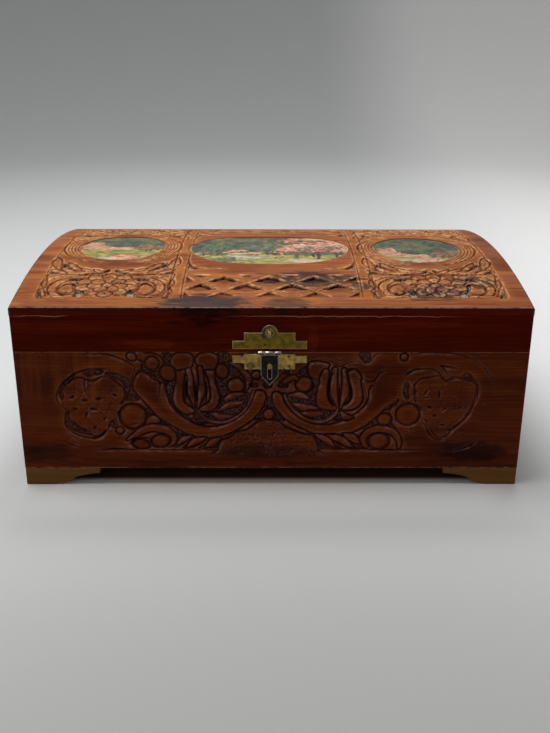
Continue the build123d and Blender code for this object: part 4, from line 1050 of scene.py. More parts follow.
grainGroup = makeGrainGroup()
spotGroup = makeSpotGroup()
edgeGroup = makeEdgeGroup()


def spotMask(t, place, centre, size, ragged):
    return t.group(spotGroup, Place=place, Centre=centre, Size=size, Ragged=ragged)["Mask"]


def newMaterial(name):
    material = bpy.data.materials.new(name)
    material.use_nodes = True
    return material, Tree(material.node_tree), material.node_tree.nodes["Principled BSDF"].inputs


# ---- cedar ----

# the first two hold painted shade and painted highlights as well as dirt and wear
fields = ("cavity", "wear", "dust", "crown")      # painted on the carved boards
# the case walls and rails are painted darker and the top lighter: shaded and lit copies of one cedar finish
shadedCaseWood = {"Light": (0.104, 0.0175, 0.0026), "Dark": (0.050, 0.0074, 0.0011),
        "Heart": (0.036, 0.0054, 0.0018)}
shadedRailWood = {"Light": (0.080, 0.0054, 0.0006), "Dark": (0.043, 0.0026, 0.0003),
        "Heart": (0.034, 0.0020, 0.0003)}
litTopWood = {"Light": (0.335, 0.108, 0.040), "Dark": (0.168, 0.046, 0.018), "Heart": (0.15, 0.038, 0.018)}
bareWood = {"Light": (0.62, 0.36, 0.20), "Dark": (0.46, 0.21, 0.11), "Heart": (0.36, 0.12, 0.085)}
footWood = {"Light": (0.165, 0.072, 0.021), "Dark": (0.105, 0.043, 0.011), "Heart": (0.09, 0.034, 0.010)}


def cedar(name, finish, along="x", shift=(0, 0, 0), ring=2.0, heartwood=0.6, carved=None, inside=None,
        vault=None, deeper=None, faced=None, mottle=None, figure=None, stainsAndLight=(), arrises=(), wavy=(),
        roughness=0.42, gloss=0.06):
    # along is the way the grain runs; shift moves the pith, in millimetres
    material, t, shader = newMaterial(name)
    place = t.place()
    parts = t.parts(place)
    turned = {"x": (0, 0, 0), "y": (0, 0, math.radians(90)), "z": (0, math.radians(90), 0)}[along]
    board = t.node("Mapping", {"vector_type": "POINT"}, Vector=place, Location=shift,
            Rotation=turned).outputs[0]
    wood = t.group(grainGroup, Place=board, Ring=ring, Heartwood=heartwood, **finish)
    colour = wood["Color"]
    if mottle:
        # broad amber and red patches, drawn out along the grain
        for offset, tint in ((0, mottle["amber"]), (400, mottle["red"])):
            patch = t.noise(t.vector("ADD", t.scaled(place, *mottle["scale"]), (offset, 0, 0)), 1.0, 4.0,
                    0.62)
            share = t.times(t.span(patch, 0.50, 0.64), mottle["strength"])
            colour = t.blend(share, colour, tint, "MULTIPLY")
    if faced:
        # painted shade: the edges of the lid take the darker, shaded rail finish, while its top keeps the lit
        # one
        ends = t.minus(t.math("ABSOLUTE", parts[0]), halfWidth)
        sides = t.minus(t.math("ABSOLUTE", t.minus(parts[1], boxMiddle)), boxBack - boxMiddle)
        edge = t.span(t.math("MAXIMUM", ends, sides), -faced["reach"], -0.3 * faced["reach"])
        dark = t.group(grainGroup, Place=board, Ring=ring, Heartwood=heartwood, **faced["finish"])["Color"]
        colour = t.blend(edge, colour, dark)
    if figure:
        # light streaks across the grain, left of one line
        streak = t.noise(t.scaled(place, *figure["scale"]), 1.0, 3.0, 0.6)
        mask = t.times(t.span(parts[0], figure["line"] + 1, figure["line"]),
                t.span(parts[2], *figure["rise"]))
        mask = t.times(mask, t.span(streak, 0.40, 0.62, 0.0, figure["strength"]))
        colour = t.blend(mask, colour, figure["tint"])
    crown = None
    if carved:
        cavity, wear, dust, crown = (t.node("Attribute",
                {"attribute_name": field}).outputs["Fac"] for field in fields)
        colour = t.blend(t.times(crown, carved["amber"]), colour, carved["crown"], "MULTIPLY")
    if deeper:
        # a broad darker tone between the raised forms
        mask = spotMask(t, place, deeper["centre"], deeper["size"], deeper["ragged"])
        mask = t.times(mask, t.minus(deeper["strength"], crown, clamp=True))
        colour = t.blend(mask, colour, deeper["tint"], "MULTIPLY")
    # stains, and on the lid's top painted light and shade at its two ends
    for centre, size, ragged, strength, tint in stainsAndLight:
        mask = spotMask(t, place, centre, size, ragged)
        colour = t.blend(t.times(mask, strength), colour, tint, "MULTIPLY")
    for point, keep, width, strength, tint, (low, high) in arrises:
        # an edge where the varnish is chipped, and the wood shows in places
        away = t.vector("LENGTH", t.vector("MULTIPLY", t.vector("SUBTRACT", place, point), keep))
        chipped = t.span(t.noise(t.scaled(place, 0.22, 0.22, 0.22), 1.0, 5.0, 0.7), low, high)
        mask = t.times(t.span(away, width, 0.4 * width), t.times(chipped, strength))
        colour = t.blend(mask, colour, tint)
    if wavy:
        # a bead of old glue that wanders along a joint
        wander = t.minus(t.noise(t.scaled(place, 0.09, 0, 0), 1.0, 3.0, 0.6), 0.5)
        shifted = t.node("CombineXYZ", {}, Z=t.times(wander, 3.2)).outputs[0]
        shifted = t.vector("ADD", place, shifted)
        for centre, size, ragged, strength, tint in wavy:
            mask = spotMask(t, shifted, centre, size, ragged)
            colour = t.blend(t.times(mask, strength), colour, tint)
    rough = t.span(wood["Fibre"], 0.3, 0.7, roughness - 0.06, roughness + 0.08)
    if carved:
        size, low, high, least, most = carved["specks"]
        dusty = t.times(dust, t.span(t.noise(place, size, 2.0, 0.6), low, high, least, most))
        # grooves: dirt, and painted shade on the sides turned from the light
        dark = t.times(cavity, carved["depth"], clamp=True)
        colour = t.blend(dark, colour, t.blend(1.0, colour, carved["grimeAndShade"], "MULTIPLY"))
        colour = t.blend(dusty, colour, carved["dust"])
        # lips: rubbed varnish, and painted highlights
        patchy = t.span(t.noise(place, 0.14, 3.0, 0.6), 0.38, 0.6, 0.15, carved["rubbedAndLit"])
        colour = t.blend(t.times(wear, patchy), colour, carved["bright"])
        rough = t.plus(rough, t.times(cavity, 0.2))
    if inside:
        # the faces that were never varnished, told by their place
        low, high = (Vector(corner) for corner in inside)
        centre, half = (low + high) / 2, (high - low) / 2
        away = t.vector("DIVIDE", t.vector("ABSOLUTE", t.vector("SUBTRACT", place, centre)), half)
        shares = t.parts(away)
        furthest = t.math("MAXIMUM", shares[0], t.math("MAXIMUM", shares[1], shares[2]))
        raw = t.math("LESS_THAN", furthest, 1.0)
        if vault:
            # and, under the domed top, by its distance from the dome's axis
            fromAxis = t.vector("MULTIPLY", t.vector("SUBTRACT", place, vault["axis"]), (0, 1, 1))
            raw = t.times(raw, t.math("LESS_THAN", t.vector("LENGTH", fromAxis), vault["radius"]))
        bare = t.group(grainGroup, Place=board, Ring=ring, Heartwood=heartwood, **bareWood)["Color"]
        colour = t.blend(raw, colour, bare)
        rough = t.plus(rough, t.times(raw, 0.25))
    t.bump(shader, wood["Height"], 0.3, 0.0001)
    t.put(shader["Base Color"], colour)
    t.put(shader["Roughness"], rough)
    shader["Specular IOR Level"].default_value = gloss
    return material


# ---- carved boards ----

carving = {
    "step": 0.5,             # spacing of the carved grid
    "lift": 0.03,            # the carved face lies this far under the board's
    "overlap": 1.0,          # the cutter reaches this far past the board
    "rounding": 40,          # degrees between faces that are shaded as one
    "frontDepth": 4.0,       # this far behind the face, nothing is painted as carved
    "topDepth": 3.2,
}
dome = {"radius": 510.0, "edgeHeight": 27.6, "underside": 4.3}     # a hair less than the boards are thick
dome["axis"] = jointHeight + dome["edgeHeight"] - math.sqrt(dome["radius"] ** 2 - (boxMiddle - boxFront) ** 2)


def domeHeight(y):
    return dome["axis"] + np.sqrt(dome["radius"] ** 2 - (y - boxMiddle) ** 2)


def sampled(panel, name, across, up):
    # a panel's values at any place, between its grid points
    field = panel[name]
    i = np.clip((across - panel["x"][0, 0]) / panel["step"], 0, field.shape[0] - 1.001)
    j = np.clip((up - panel["z"][0, 0]) / panel["step"], 0, field.shape[1] - 1.001)
    a, b = i.astype(int), j.astype(int)
    s, t = i - a, j - b
    near = field[a, b] * (1 - s) + field[a + 1, b] * s
    far = field[a, b + 1] * (1 - s) + field[a + 1, b + 1] * s
    return near * (1 - t) + far * t


def makeCutter(face, flatten, plane):
    # a closed slab whose near side has the carved shape; flatten is the axis of its flat far side
    wide, tall = face.shape[:2]
    deselectAll()
    bpy.ops.mesh.primitive_grid_add(x_subdivisions=wide - 1, y_subdivisions=tall - 1, size=1)
    slab = bpy.context.object
    flat = nodePoints(slab)
    i = np.rint((flat[:, 0] + 0.5) * (wide - 1)).astype(int)
    j = np.rint((flat[:, 1] + 0.5) * (tall - 1)).astype(int)
    slab.data.vertices.foreach_set("co", (face[i, j] * mm).astype(np.float32).ravel())
    slab.data.update()
    bpy.ops.object.mode_set(mode="EDIT")
    bpy.ops.mesh.select_all(action="SELECT")
    bpy.ops.mesh.extrude_region_move()
    keep = [0 if axis == flatten else 1 for axis in "XYZ"]
    centre = [plane * mm if axis == flatten else 0 for axis in "XYZ"]
    bpy.ops.transform.resize(value=keep, center_override=centre)
    bpy.ops.mesh.select_all(action="SELECT")
    bpy.ops.mesh.normals_make_consistent(inside=False)
    bpy.ops.object.mode_set(mode="OBJECT")
    return slab


def closeSlivers(piece):
    # a cut or a soft edge can leave faces too thin to have an area
    within = {"threshold": closeEnough["sliver"]}
    editWhole(piece, ("remove_doubles", within), ("dissolve_degenerate", within))


def cutToShape(piece, cutter):
    applyModifier(piece, "BOOLEAN", operation="INTERSECT", solver="MANIFOLD", object=cutter)
    bpy.data.objects.remove(cutter)
    closeSlivers(piece)


def stretched(values, low, high):
    # a grid line through its own points, with its ends pushed out past the board
    values = values.copy()
    values[0], values[-1] = low, high
    return values


def carveFrontBoard(panel):
    piece = copyOfNode("front_board", "carvedFront")
    x = stretched(panel["x"][:, 0], -halfWidth - carving["overlap"], halfWidth + carving["overlap"])
    z = stretched(panel["z"][0], footHeight - carving["overlap"], jointHeight + carving["overlap"])
    x, z = np.meshgrid(x, z, indexing="ij")
    face = np.stack([x, boxFront + carving["lift"] - panel["height"], z], -1)
    cutToShape(piece, makeCutter(face, "Y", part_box("front_board")[1].y / mm + carving["overlap"]))
    points = nodePoints(piece) / mm
    onFace = points[:, 1] < boxFront + carving["frontDepth"]
    for name in fields:
        paintAttribute(piece, name, np.where(onFace, sampled(panel, name, points[:, 0], points[:, 2]), 0))
    return piece


def carveTopBoard(node, name, panel):
    piece = copyOfNode(node, name)
    low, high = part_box(node)
    y = np.arange(low.y / mm - carving["overlap"], high.y / mm + carving["overlap"], carving["step"])
    x = stretched(panel["x"][:, 0], -halfWidth - carving["overlap"], halfWidth + carving["overlap"])
    x, y = np.meshgrid(x, y, indexing="ij")
    height = sampled(panel, "height", x, y - boxFront)
    face = np.stack([x, y, domeHeight(y) + height - carving["lift"]], -1)
    cutToShape(piece, makeCutter(face, "Z", low.z / mm - carving["overlap"]))
    points = nodePoints(piece) / mm
    onFace = points[:, 2] > domeHeight(points[:, 1]) - carving["topDepth"]
    for field in fields:
        values = sampled(panel, field, points[:, 0], points[:, 1] - boxFront)
        paintAttribute(piece, field, np.where(onFace, values, 0))
    return piece


frontPanel = newPanel(-halfWidth, halfWidth, footHeight, jointHeight, carving["step"])
carveBorder(frontPanel)
carveLeft(frontPanel)
carveRight(frontPanel)
carveMiddle(frontPanel)
finishRelief(frontPanel, seed=4, fade=np.interp(frontPanel["x"], [60, 110], [1.0, 0.95]), deep=0.45,
             light=(-0.3, 0.95), rim=(-0.4, 0.9))

topPanel = newPanel(-halfWidth, halfWidth, 0, boxBack - boxFront, carving["step"])
carveTop(topPanel)
finishRelief(topPanel, seed=9, fade=1.0, deep=0.25, light=(-0.1, 1.0), rim=(-0.2, -1.0))
print("carving drawn:", frontPanel["height"].shape, topPanel["height"].shape)

paleEdge = (0.20, 0.085, 0.045)
frontStains = [
    ((-137, boxFront, 22), (20, 9, 7), 1.8, 0.9, (0.50, 0.56, 1.05)),
    ((124, boxFront, 23), (24, 9, 9), 1.4, 0.95, (0.38, 0.42, 1.5)),
    ((-5, boxFront, 23), (36, 9, 5), 1.8, 0.85, (0.46, 0.52, 1.0)),
    ((94, boxFront, 30), (20, 9, 4), 1.8, 0.6, (0.45, 0.50, 1.1)),
    ((-64, boxFront, 15), (30, 9, 2.2), 1.8, 0.35, (0.45, 0.50, 1.1)),
]
frontArrises = [
    ((0, boxFront, jointHeight), (0, 1, 1), 0.6, 0.6, (0.24, 0.11, 0.07), (0.34, 0.52)),
    ((0, boxFront, footHeight), (0, 1, 1), 0.8, 0.75, (0.24, 0.12, 0.08), (0.44, 0.58)),
    ((-halfWidth, boxFront, 0), (1, 1, 0), 0.7, 0.4, paleEdge, (0.42, 0.60)),
    ((halfWidth, boxFront, 0), (1, 1, 0), 0.7, 0.4, paleEdge, (0.42, 0.60)),
]
frontMottle = {"scale": (0.012, 0.05, 0.07), "amber": (1.35, 1.45, 1.2), "red": (0.76, 0.68, 0.85),
        "strength": 0.8}
leftFigure = {"line": -82, "rise": (48, 64), "scale": (0.17, 0.02, 0.012), "strength": 0.4,
              "tint": (0.150, 0.034, 0.0060)}
# groove colour: dirt and painted shade; lip colour and strength: rubbed varnish and painted highlight
frontCarving = {"grimeAndShade": (0.07, 0.03, 0.07), "depth": 1.2, "rubbedAndLit": 0.75, "bright": (0.25, 0.112, 0.085),
                "specks": (0.85, 0.44, 0.58, 0.1, 0.9), "dust": (0.105, 0.044, 0.038), "amber": 1.0,
                "crown": (1.36, 1.50, 1.1)}
topCarving = {"grimeAndShade": (0.08, 0.045, 0.045), "depth": 1.2, "rubbedAndLit": 0.95, "bright": (0.70, 0.37, 0.18),
              "specks": (1.3, 0.40, 0.58, 0.15, 0.95), "dust": (0.46, 0.38, 0.30), "amber": 0.9,
              "crown": (1.22, 1.30, 0.95)}
topStainsAndSideLight = [
    ((-40, boxFront + 6, 116), (30, 11, 14), 1.6, 0.95, (0.18, 0.38, 1.1)),
    ((24, boxFront + 38, 119), (38, 14, 14), 1.7, 0.95, (0.20, 0.30, 0.8)),
    ((10, boxFront + 5, 116), (16, 7, 12), 1.6, 0.8, (0.30, 0.50, 1.0)),
    ((55, boxFront + 28, 118), (9, 6, 12), 1.4, 0.9, (0.20, 0.30, 0.8)),
    ((97, boxFront + 20, 117), (22, 14, 12), 1.6, 0.95, (0.22, 0.27, 0.65)),
    ((124, boxFront + 33, 118), (16, 11, 12), 1.6, 0.9, (0.24, 0.30, 0.7)),
    ((65, boxFront + 17, 117), (18, 6, 12), 1.2, 0.6, (1.3, 1.35, 0.9)),
    ((125, boxFront + 17, 117), (13, 6, 12), 1.2, 0.6, (1.3, 1.35, 0.9)),
    ((-145, boxFront + 25, 112), (13, 24, 14), 1.2, 0.6, (0.72, 0.60, 0.55)),
    # painted light and shade: the left end of the top lighter, the right end darker
    ((-149, boxFront + 100, 116), (11, 130, 40), 0.3, 0.8, (1.2, 1.28, 1.3)),
    ((149, boxFront + 100, 116), (11, 130, 40), 0.3, 0.8, (0.86, 0.88, 0.92)),
    ((-148, boxFront + 47, 118), (12, 0.7, 14), 0.4, 0.9, (0.30, 0.22, 0.25)),
    ((147, boxFront + 24, 114), (13, 0.7, 14), 0.4, 0.9, (0.30, 0.22, 0.25)),
]
topArrises = [
    ((0, boxFront, jointHeight + dome["edgeHeight"]), (0, 1, 1), 0.8, 0.7, (0.52, 0.33, 0.22), (0.30, 0.60)),
    ((-halfWidth, boxFront, 0), (1, 1, 0), 1.0, 0.5, (0.40, 0.24, 0.14), (0.40, 0.60)),
    ((halfWidth, boxFront, 0), (1, 1, 0), 1.0, 0.5, (0.40, 0.24, 0.14), (0.40, 0.60)),
]
topMottle = {"scale": (0.022, 0.07, 0.05), "amber": (1.22, 1.30, 0.95), "red": (0.72, 0.62, 0.62),
        "strength": 0.8}
lidEdge = {"reach": 1.1, "finish": shadedRailWood}
glueLines = [
    ((-135, boxFront, 110.1), (20, 4, 0.45), 0.5, 0.6, (0.32, 0.155, 0.08)),
    ((42, boxFront, 110.1), (76, 4, 0.45), 0.5, 0.6, (0.30, 0.145, 0.075)),
]
varnishedDepth = 9.4         # from the outside to just inside the walls' inner faces


def insideBetween(low, high):
    # the box of bare wood between two heights
    return ((-halfWidth + varnishedDepth, boxFront + varnishedDepth, low),
            (halfWidth - varnishedDepth, boxBack - varnishedDepth, high))


caseInside = insideBetween(17.4, jointHeight + 0.1)
lidInside = insideBetween(jointHeight - 1, 116)
lidCeiling = insideBetween(jointHeight - 1, 140)
ceilingVault = {"axis": (0, boxMiddle, dome["axis"]), "radius": dome["radius"] - dome["underside"]}
frontDepth = {"centre": (0, boxFront, 50), "size": (96, 9, 40), "ragged": 0.7, "strength": 1.0,
              "tint": (0.60, 0.44, 0.72)}
frontCedar = cedar("frontCedar", shadedCaseWood, "x", (0, 30, 40), carved=frontCarving, deeper=frontDepth,
        inside=caseInside, mottle=frontMottle, figure=leftFigure, stainsAndLight=frontStains, arrises=frontArrises,
        gloss=0.045)
piece = carveFrontBoard(frontPanel)
finishPiece(piece, "case", "front_board", frontCedar, carving["rounding"])
print("front board carved:", len(piece.data.polygons), "faces")

boardShifts = [(0, 20, -60), (60, 45, -130), (-90, -25, -80), (30, 60, -140), (120, -50, -90)]
for number, node in enumerate(lidBoards):
    wood = cedar(f"topCedar{number + 1}", litTopWood, "x", boardShifts[number], carved=topCarving, faced=lidEdge,
                 mottle=topMottle, stainsAndLight=topStainsAndSideLight, arrises=topArrises, gloss=0.05,
                 inside=lidCeiling, vault=ceilingVault)
    piece = carveTopBoard(node, f"carvedTop{number + 1}", topPanel)
    finishPiece(piece, "lid", node, wood, carving["rounding"])
    print("top board", number + 1, "carved:", len(piece.data.polygons), "faces")


# ---- plain boards, rails and feet ----

softEdge = {"width": 0.35 * mm, "segments": 2, "angle": 30, "flat": 0.5}     # angles in degrees


def easedCopy(node, name, width):
    # flat faces are joined again before their edges are rounded
    piece = copyOfNode(node, name)
    editWhole(piece, ("dissolve_limited", {"angle_limit": math.radians(softEdge["flat"])}))
    applyModifier(piece, "BEVEL", width=width, segments=softEdge["segments"], limit_method="ANGLE",
                  angle_limit=math.radians(softEdge["angle"]), use_clamp_overlap=True)
    applyModifier(piece, "TRIANGULATE")
    return piece


sideCedar = cedar("sideCedar", shadedCaseWood, "y", (25, 0, 50), inside=caseInside)
backCedar = cedar("backCedar", shadedCaseWood, "x", (200, 60, 30), inside=caseInside)
railMottle = {"scale": (0.010, 0.05, 0.09), "amber": (1.5, 2.0, 1.2), "red": (0.8, 0.6, 0.6), "strength": 0.7}
railStains = topStainsAndSideLight[:1] + [
    ((-71, boxFront, 93), (17, 9, 3.2), 0.8, 0.9, (1.55, 2.6, 1.4)),
    ((24, boxFront, 96), (4, 9, 9), 0.8, 0.6, (1.4, 2.2, 1.3)),
    ((-2, boxFront, 89), (30, 9, 1.6), 0.8, 0.7, (1.4, 2.0, 1.2)),
]
frontRailCedar = cedar("frontRailCedar", shadedRailWood, "x", (40, 55, -20), heartwood=0.3, wavy=glueLines,
                       mottle=railMottle, stainsAndLight=railStains, inside=lidInside, gloss=0.018)
sideRailCedar = cedar("sideRailCedar", shadedRailWood, "y", (10, 0, -30), ring=2.2, heartwood=0.3, inside=lidInside,
                      gloss=0.03)
floorCedar = cedar("floorCedar", bareWood, "x", (0, 80, 70), heartwood=0.5, roughness=0.7, gloss=0.2)
faceFootWood = cedar("faceFootWood", footWood, "x", (0, 40, 30), ring=3.4, heartwood=0.2)
sideFootWood = cedar("sideFootWood", footWood, "y", (30, 0, 40), ring=3.4, heartwood=0.2)

plainPieces = [
    ("back_board", "backBoard", "case", "cedar", backCedar),
    ("left_board", "leftBoard", "case", "cedar", sideCedar),
    ("right_board", "rightBoard", "case", "cedar", sideCedar),
    ("floor_board", "floorBoard", "case", "cedar", floorCedar),
    ("lid_front_rail", "lidFrontRail", "lid", "cedar", frontRailCedar),
    ("lid_back_rail", "lidBackRail", "lid", "cedar", frontRailCedar),
    ("lid_left_rail", "lidLeftRail", "lid", "cedar", sideRailCedar),
    ("lid_right_rail", "lidRightRail", "lid", "cedar", sideRailCedar),
]
for end in ("front", "back"):
    for side in ("left", "right"):
        start = end + side.title()
        plainPieces.append((f"{end}_{side}_foot_face", start + "FootFace", "case", "foot_wood", faceFootWood))
        plainPieces.append((f"{end}_{side}_foot_side", start + "FootSide", "case", "foot_wood", sideFootWood))
for node, name, body, slot, wood in plainPieces:
    piece = easedCopy(node, name, softEdge["width"])
    closeSlivers(piece)
    finishPiece(piece, body, node, wood)
print("plain boards, rails and feet eased")


# ---- brass ----

def brass(name, bright, dull, dark, patina=0.5, speckle=0.5, edge=(0.78, 0.62, 0.44), roughness=0.36, edgeRubAndGlint=0.9,
          spots=(), barrel=None, lip=0.5):
    material, t, shader = newMaterial(name)
    where = t.node("TexCoord").outputs["Object"]
    place = t.scaled(where, 1000, 1000, 1000)
    cloud = t.noise(place, 0.35, 4.0, 0.6)
    fine = t.noise(place, 2.4, 3.0, 0.65)
    colour = t.blend(t.span(cloud, 0.36, 0.62), bright, dull)
    pitted = t.times(t.span(fine, 0.52, 0.64), speckle)
    brassStainAndShade = t.times(t.span(t.noise(place, 0.24, 3.0, 0.6), 0.50, 0.68), patina)
    # spots: patina on the lower plate, painted shade on the upper plate and the keeper
    for centre, size, strength in spots:
        mask = spotMask(t, place, centre, size, 0.5)
        brassStainAndShade = t.math("MAXIMUM", brassStainAndShade, t.times(mask, strength))
    brassDirtAndShade = t.math("MAXIMUM", pitted, brassStainAndShade)
    colour = t.blend(brassDirtAndShade, colour, dark)
    # edges: rubbed metal, and a painted highlight
    rubbedAndLit = t.group(edgeGroup, Radius=lip * mm, Place=where)["Mask"]
    rubbedAndLit = t.times(rubbedAndLit, edgeRubAndGlint)
    rough = t.span(fine, 0.3, 0.7, roughness - 0.08, roughness + 0.14)
    if barrel:
        # a painted highlight along the knuckles' upper side, broken where they meet, over painted shade on
        # the rest of the barrel
        offset = t.vector("SUBTRACT", place, barrel["axis"])
        away = t.vector("LENGTH", t.vector("MULTIPLY", offset, (0, 1, 1)))
        across, _, up = t.parts(offset)
        onBarrel = t.span(away, barrel["reach"] + 0.3, barrel["reach"])
        meeting = t.math("ABSOLUTE", t.minus(t.math("ABSOLUTE", across), barrel["meeting"]))
        barrelHighlight = t.times(t.span(up, 0.05, 0.55), t.span(meeting, 0.25, 0.6))
        barrelHighlight = t.times(onBarrel, barrelHighlight)
        colour = t.blend(onBarrel, colour, barrel["barrelShade"])
        colour = t.blend(barrelHighlight, colour, barrel["tint"])
        rough = t.minus(rough, t.times(barrelHighlight, roughness - 0.2))
        brassDirtAndShade = t.times(brassDirtAndShade, t.minus(1.0, barrelHighlight))
    t.put(shader["Base Color"], t.blend(rubbedAndLit, colour, edge))
    t.put(shader["Roughness"], t.minus(rough, t.times(rubbedAndLit, 0.05), clamp=True))
    plain = t.math("MAXIMUM", t.times(brassDirtAndShade, 0.6), t.times(rubbedAndLit, 0.7))
    t.put(shader["Metallic"], t.minus(1.0, plain))
    t.bump(shader, fine, 0.25, 0.00004)
    return material


haspAxis = [(a + b) / 2 / mm for a, b in zip(*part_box("hasp_pin"))]
# the pale tint is the barrel's painted highlight, the dark one its painted shade
knuckle = {"axis": haspAxis, "reach": 1.15, "meeting": 2.7, "tint": (0.75, 0.68, 0.56),
        "barrelShade": (0.10, 0.07, 0.035)}
lowerSpots = [
    ((haspAxis[0] - 11.4, haspAxis[1], 79.7), (3.4, 9, 2.7), 0.85),
    ((haspAxis[0] - 16.4, haspAxis[1], 85.5), (1.2, 9, 0.8), 1.0),
    ((haspAxis[0] + 11.3, haspAxis[1], 85.5), (1.1, 9, 0.8), 1.0),
    ((haspAxis[0] + 8.4, haspAxis[1], 77.3), (0.9, 9, 1.1), 1.0),
    ((haspAxis[0] + 12.2, haspAxis[1], 77.3), (0.8, 9, 1.3), 1.0),
    ((haspAxis[0] - 6.2, haspAxis[1], 82), (1.0, 9, 4.0), 0.6),
]
# the last two spots are painted shade round the keeper on the plate's lobe
upperSpots = [
    ((haspAxis[0] - 2.8, haspAxis[1], 92.7), (1.1, 9, 0.9), 1.0),
    ((haspAxis[0], haspAxis[1], 100.2), (4.1, 9, 4.1), 1.0),
    ((haspAxis[0] - 3.2, haspAxis[1], 100.0), (2.4, 9, 4.2), 0.95),
]
# painted shade: a dark oval right of the eye's middle, where its hole shows when turned
keeperSpots = [((haspAxis[0] + 1.0, haspAxis[1], 100.0), (0.6, 9, 1.6), 1.0)]
upperBrass = brass("upperPlateBrass", (0.27, 0.175, 0.020), (0.16, 0.105, 0.012), (0.040, 0.028, 0.010),
        spots=upperSpots, speckle=0.35, edge=(0.92, 0.74, 0.60), edgeRubAndGlint=1.0, lip=0.9)
lowerBrass = brass("lowerPlateBrass", (0.56, 0.37, 0.095), (0.33, 0.21, 0.045), (0.060, 0.036, 0.014),
        patina=0.4, lip=0.8, spots=lowerSpots, speckle=0.7, barrel=knuckle)
tongueBrass = brass("tongueBrass", (0.022, 0.021, 0.015), (0.013, 0.012, 0.009), (0.008, 0.007, 0.006),
        roughness=0.22, edge=(0.90, 0.88, 0.80), edgeRubAndGlint=1.0, lip=0.8, barrel=knuckle)
keeperBrass = brass("keeperBrass", (0.40, 0.29, 0.075), (0.22, 0.155, 0.035), (0.05, 0.035, 0.015),
        patina=0.4, roughness=0.75, spots=keeperSpots)
hingeBrass = brass("hingeBrass", (0.50, 0.36, 0.12), (0.34, 0.24, 0.08), (0.09, 0.06, 0.03))
nailBrass = brass("nailBrass", (0.20, 0.14, 0.05), (0.12, 0.085, 0.03), (0.04, 0.028, 0.014), edgeRubAndGlint=0.6)

brassPieces = [
    ("hasp_upper_plate", "haspUpperPlate", "lid", "plate_brass", upperBrass, 0.10),
    ("hasp_lower_plate", "haspLowerPlate", "case", "plate_brass", lowerBrass, 0.10),
    ("hasp_tongue", "haspTongue", "hasp_tongue", "tongue_brass", tongueBrass, 0.10),
    ("keeper", "keeperEye", "keeper", "plate_brass", keeperBrass, 0.10),
    ("hasp_upper_nails", "haspUpperNails", "lid", "nail_brass", nailBrass, 0.05),
    ("hasp_lower_nails", "haspLowerNails", "case", "nail_brass", nailBrass, 0.05),
    ("hasp_pin", "haspPin", "case", "plate_brass", lowerBrass, 0.05),
    ("hinge_case_screws", "hingeCaseScrews", "case", "hinge_brass", hingeBrass, 0.05),
    ("hinge_lid_screws", "hingeLidScrews", "lid", "hinge_brass", hingeBrass, 0.05),
]
for side in ("left", "right"):
    brassPieces.append((f"{side}_hinge_case_leaf", side + "HingeCaseLeaf", "case", "hinge_brass", hingeBrass,
            0.08))
    brassPieces.append((f"{side}_hinge_lid_leaf", side + "HingeLidLeaf", "lid", "hinge_brass", hingeBrass,
            0.08))
    brassPieces.append((f"{side}_hinge_pin", side + "HingePin", "case", "hinge_brass", hingeBrass, 0.05))
for node, name, body, slot, metal, width in brassPieces:
    finishPiece(easedCopy(node, name, width * mm), body, node, metal)
# the keeper turns in the upper plate, so its faces that lie on the plate step back a hair
keeperSeat = {"clear": 0.03 * mm, "near": 0.005 * mm}
plateFront, plateBack = (corner.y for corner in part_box("hasp_upper_plate"))
for vertex in bpy.data.objects["keeperEye"].data.vertices:
    if abs(vertex.co.y - plateFront) < keeperSeat["near"]:
        vertex.co.y -= keeperSeat["clear"]
    elif abs(vertex.co.y - plateBack) < keeperSeat["near"]:
        vertex.co.y += keeperSeat["clear"]
print("brass pieces finished")


# ---- oval pictures ----

def dab(canvas, x, z, long, wide, turn, colour, share):
    # one stroke of the brush on a grid of colours
    place, inside = oval(canvas, x, z, long / 2, wide / 2, turn, margin=0.3)
    cover = np.clip(inside / 0.35 + 0.4, 0, 1)[..., None] * share
    canvas["paint"][place] = canvas["paint"][place] * (1 - cover) + colour * cover


def dabs(canvas, rng, count, xs, zs, long, wide, colours, turn=0, spread=12, share=0.9, gather=False):
    # many strokes, evenly over a field, or gathered round its middle
    for _ in range(count):
        u, v = rng.normal(0, 0.36, 2) if gather else rng.uniform(-1, 1, 2)
        colour = np.array(colours[rng.integers(len(colours))]) * rng.uniform(0.65, 1.35)
        size = rng.uniform(0.5, 1.4)
        dab(canvas, xs[0] + u * xs[1], zs[0] + v * zs[1], long * size, wide * size,
                turn + rng.uniform(-spread, spread), colour, share)


tints = {
    "woods": [(0.040, 0.055, 0.040), (0.075, 0.100, 0.070), (0.110, 0.135, 0.090), (0.055, 0.070, 0.060)],
    "leaves": [(0.11, 0.16, 0.06), (0.075, 0.12, 0.05), (0.15, 0.18, 0.10)],
    "edge": [(0.10, 0.11, 0.045), (0.14, 0.13, 0.06), (0.06, 0.075, 0.035)],
    "meadow": [(0.36, 0.31, 0.075), (0.26, 0.25, 0.055), (0.44, 0.36, 0.12), (0.16, 0.17, 0.05),
        (0.46, 0.34, 0.10)],
    "peach": [(0.58, 0.34, 0.20), (0.46, 0.27, 0.15), (0.62, 0.44, 0.27)],
    "coral": [(0.62, 0.17, 0.11), (0.70, 0.26, 0.17), (0.46, 0.11, 0.08), (0.74, 0.36, 0.26)],
    "cream": [(0.68, 0.58, 0.38), (0.56, 0.46, 0.28)],
    "water": [(0.26, 0.29, 0.22), (0.34, 0.34, 0.24), (0.14, 0.17, 0.13)],
    "rust": [(0.26, 0.12, 0.055), (0.34, 0.17, 0.08), (0.13, 0.08, 0.045)],
    "bark": [(0.035, 0.030, 0.028), (0.06, 0.05, 0.045)],
}


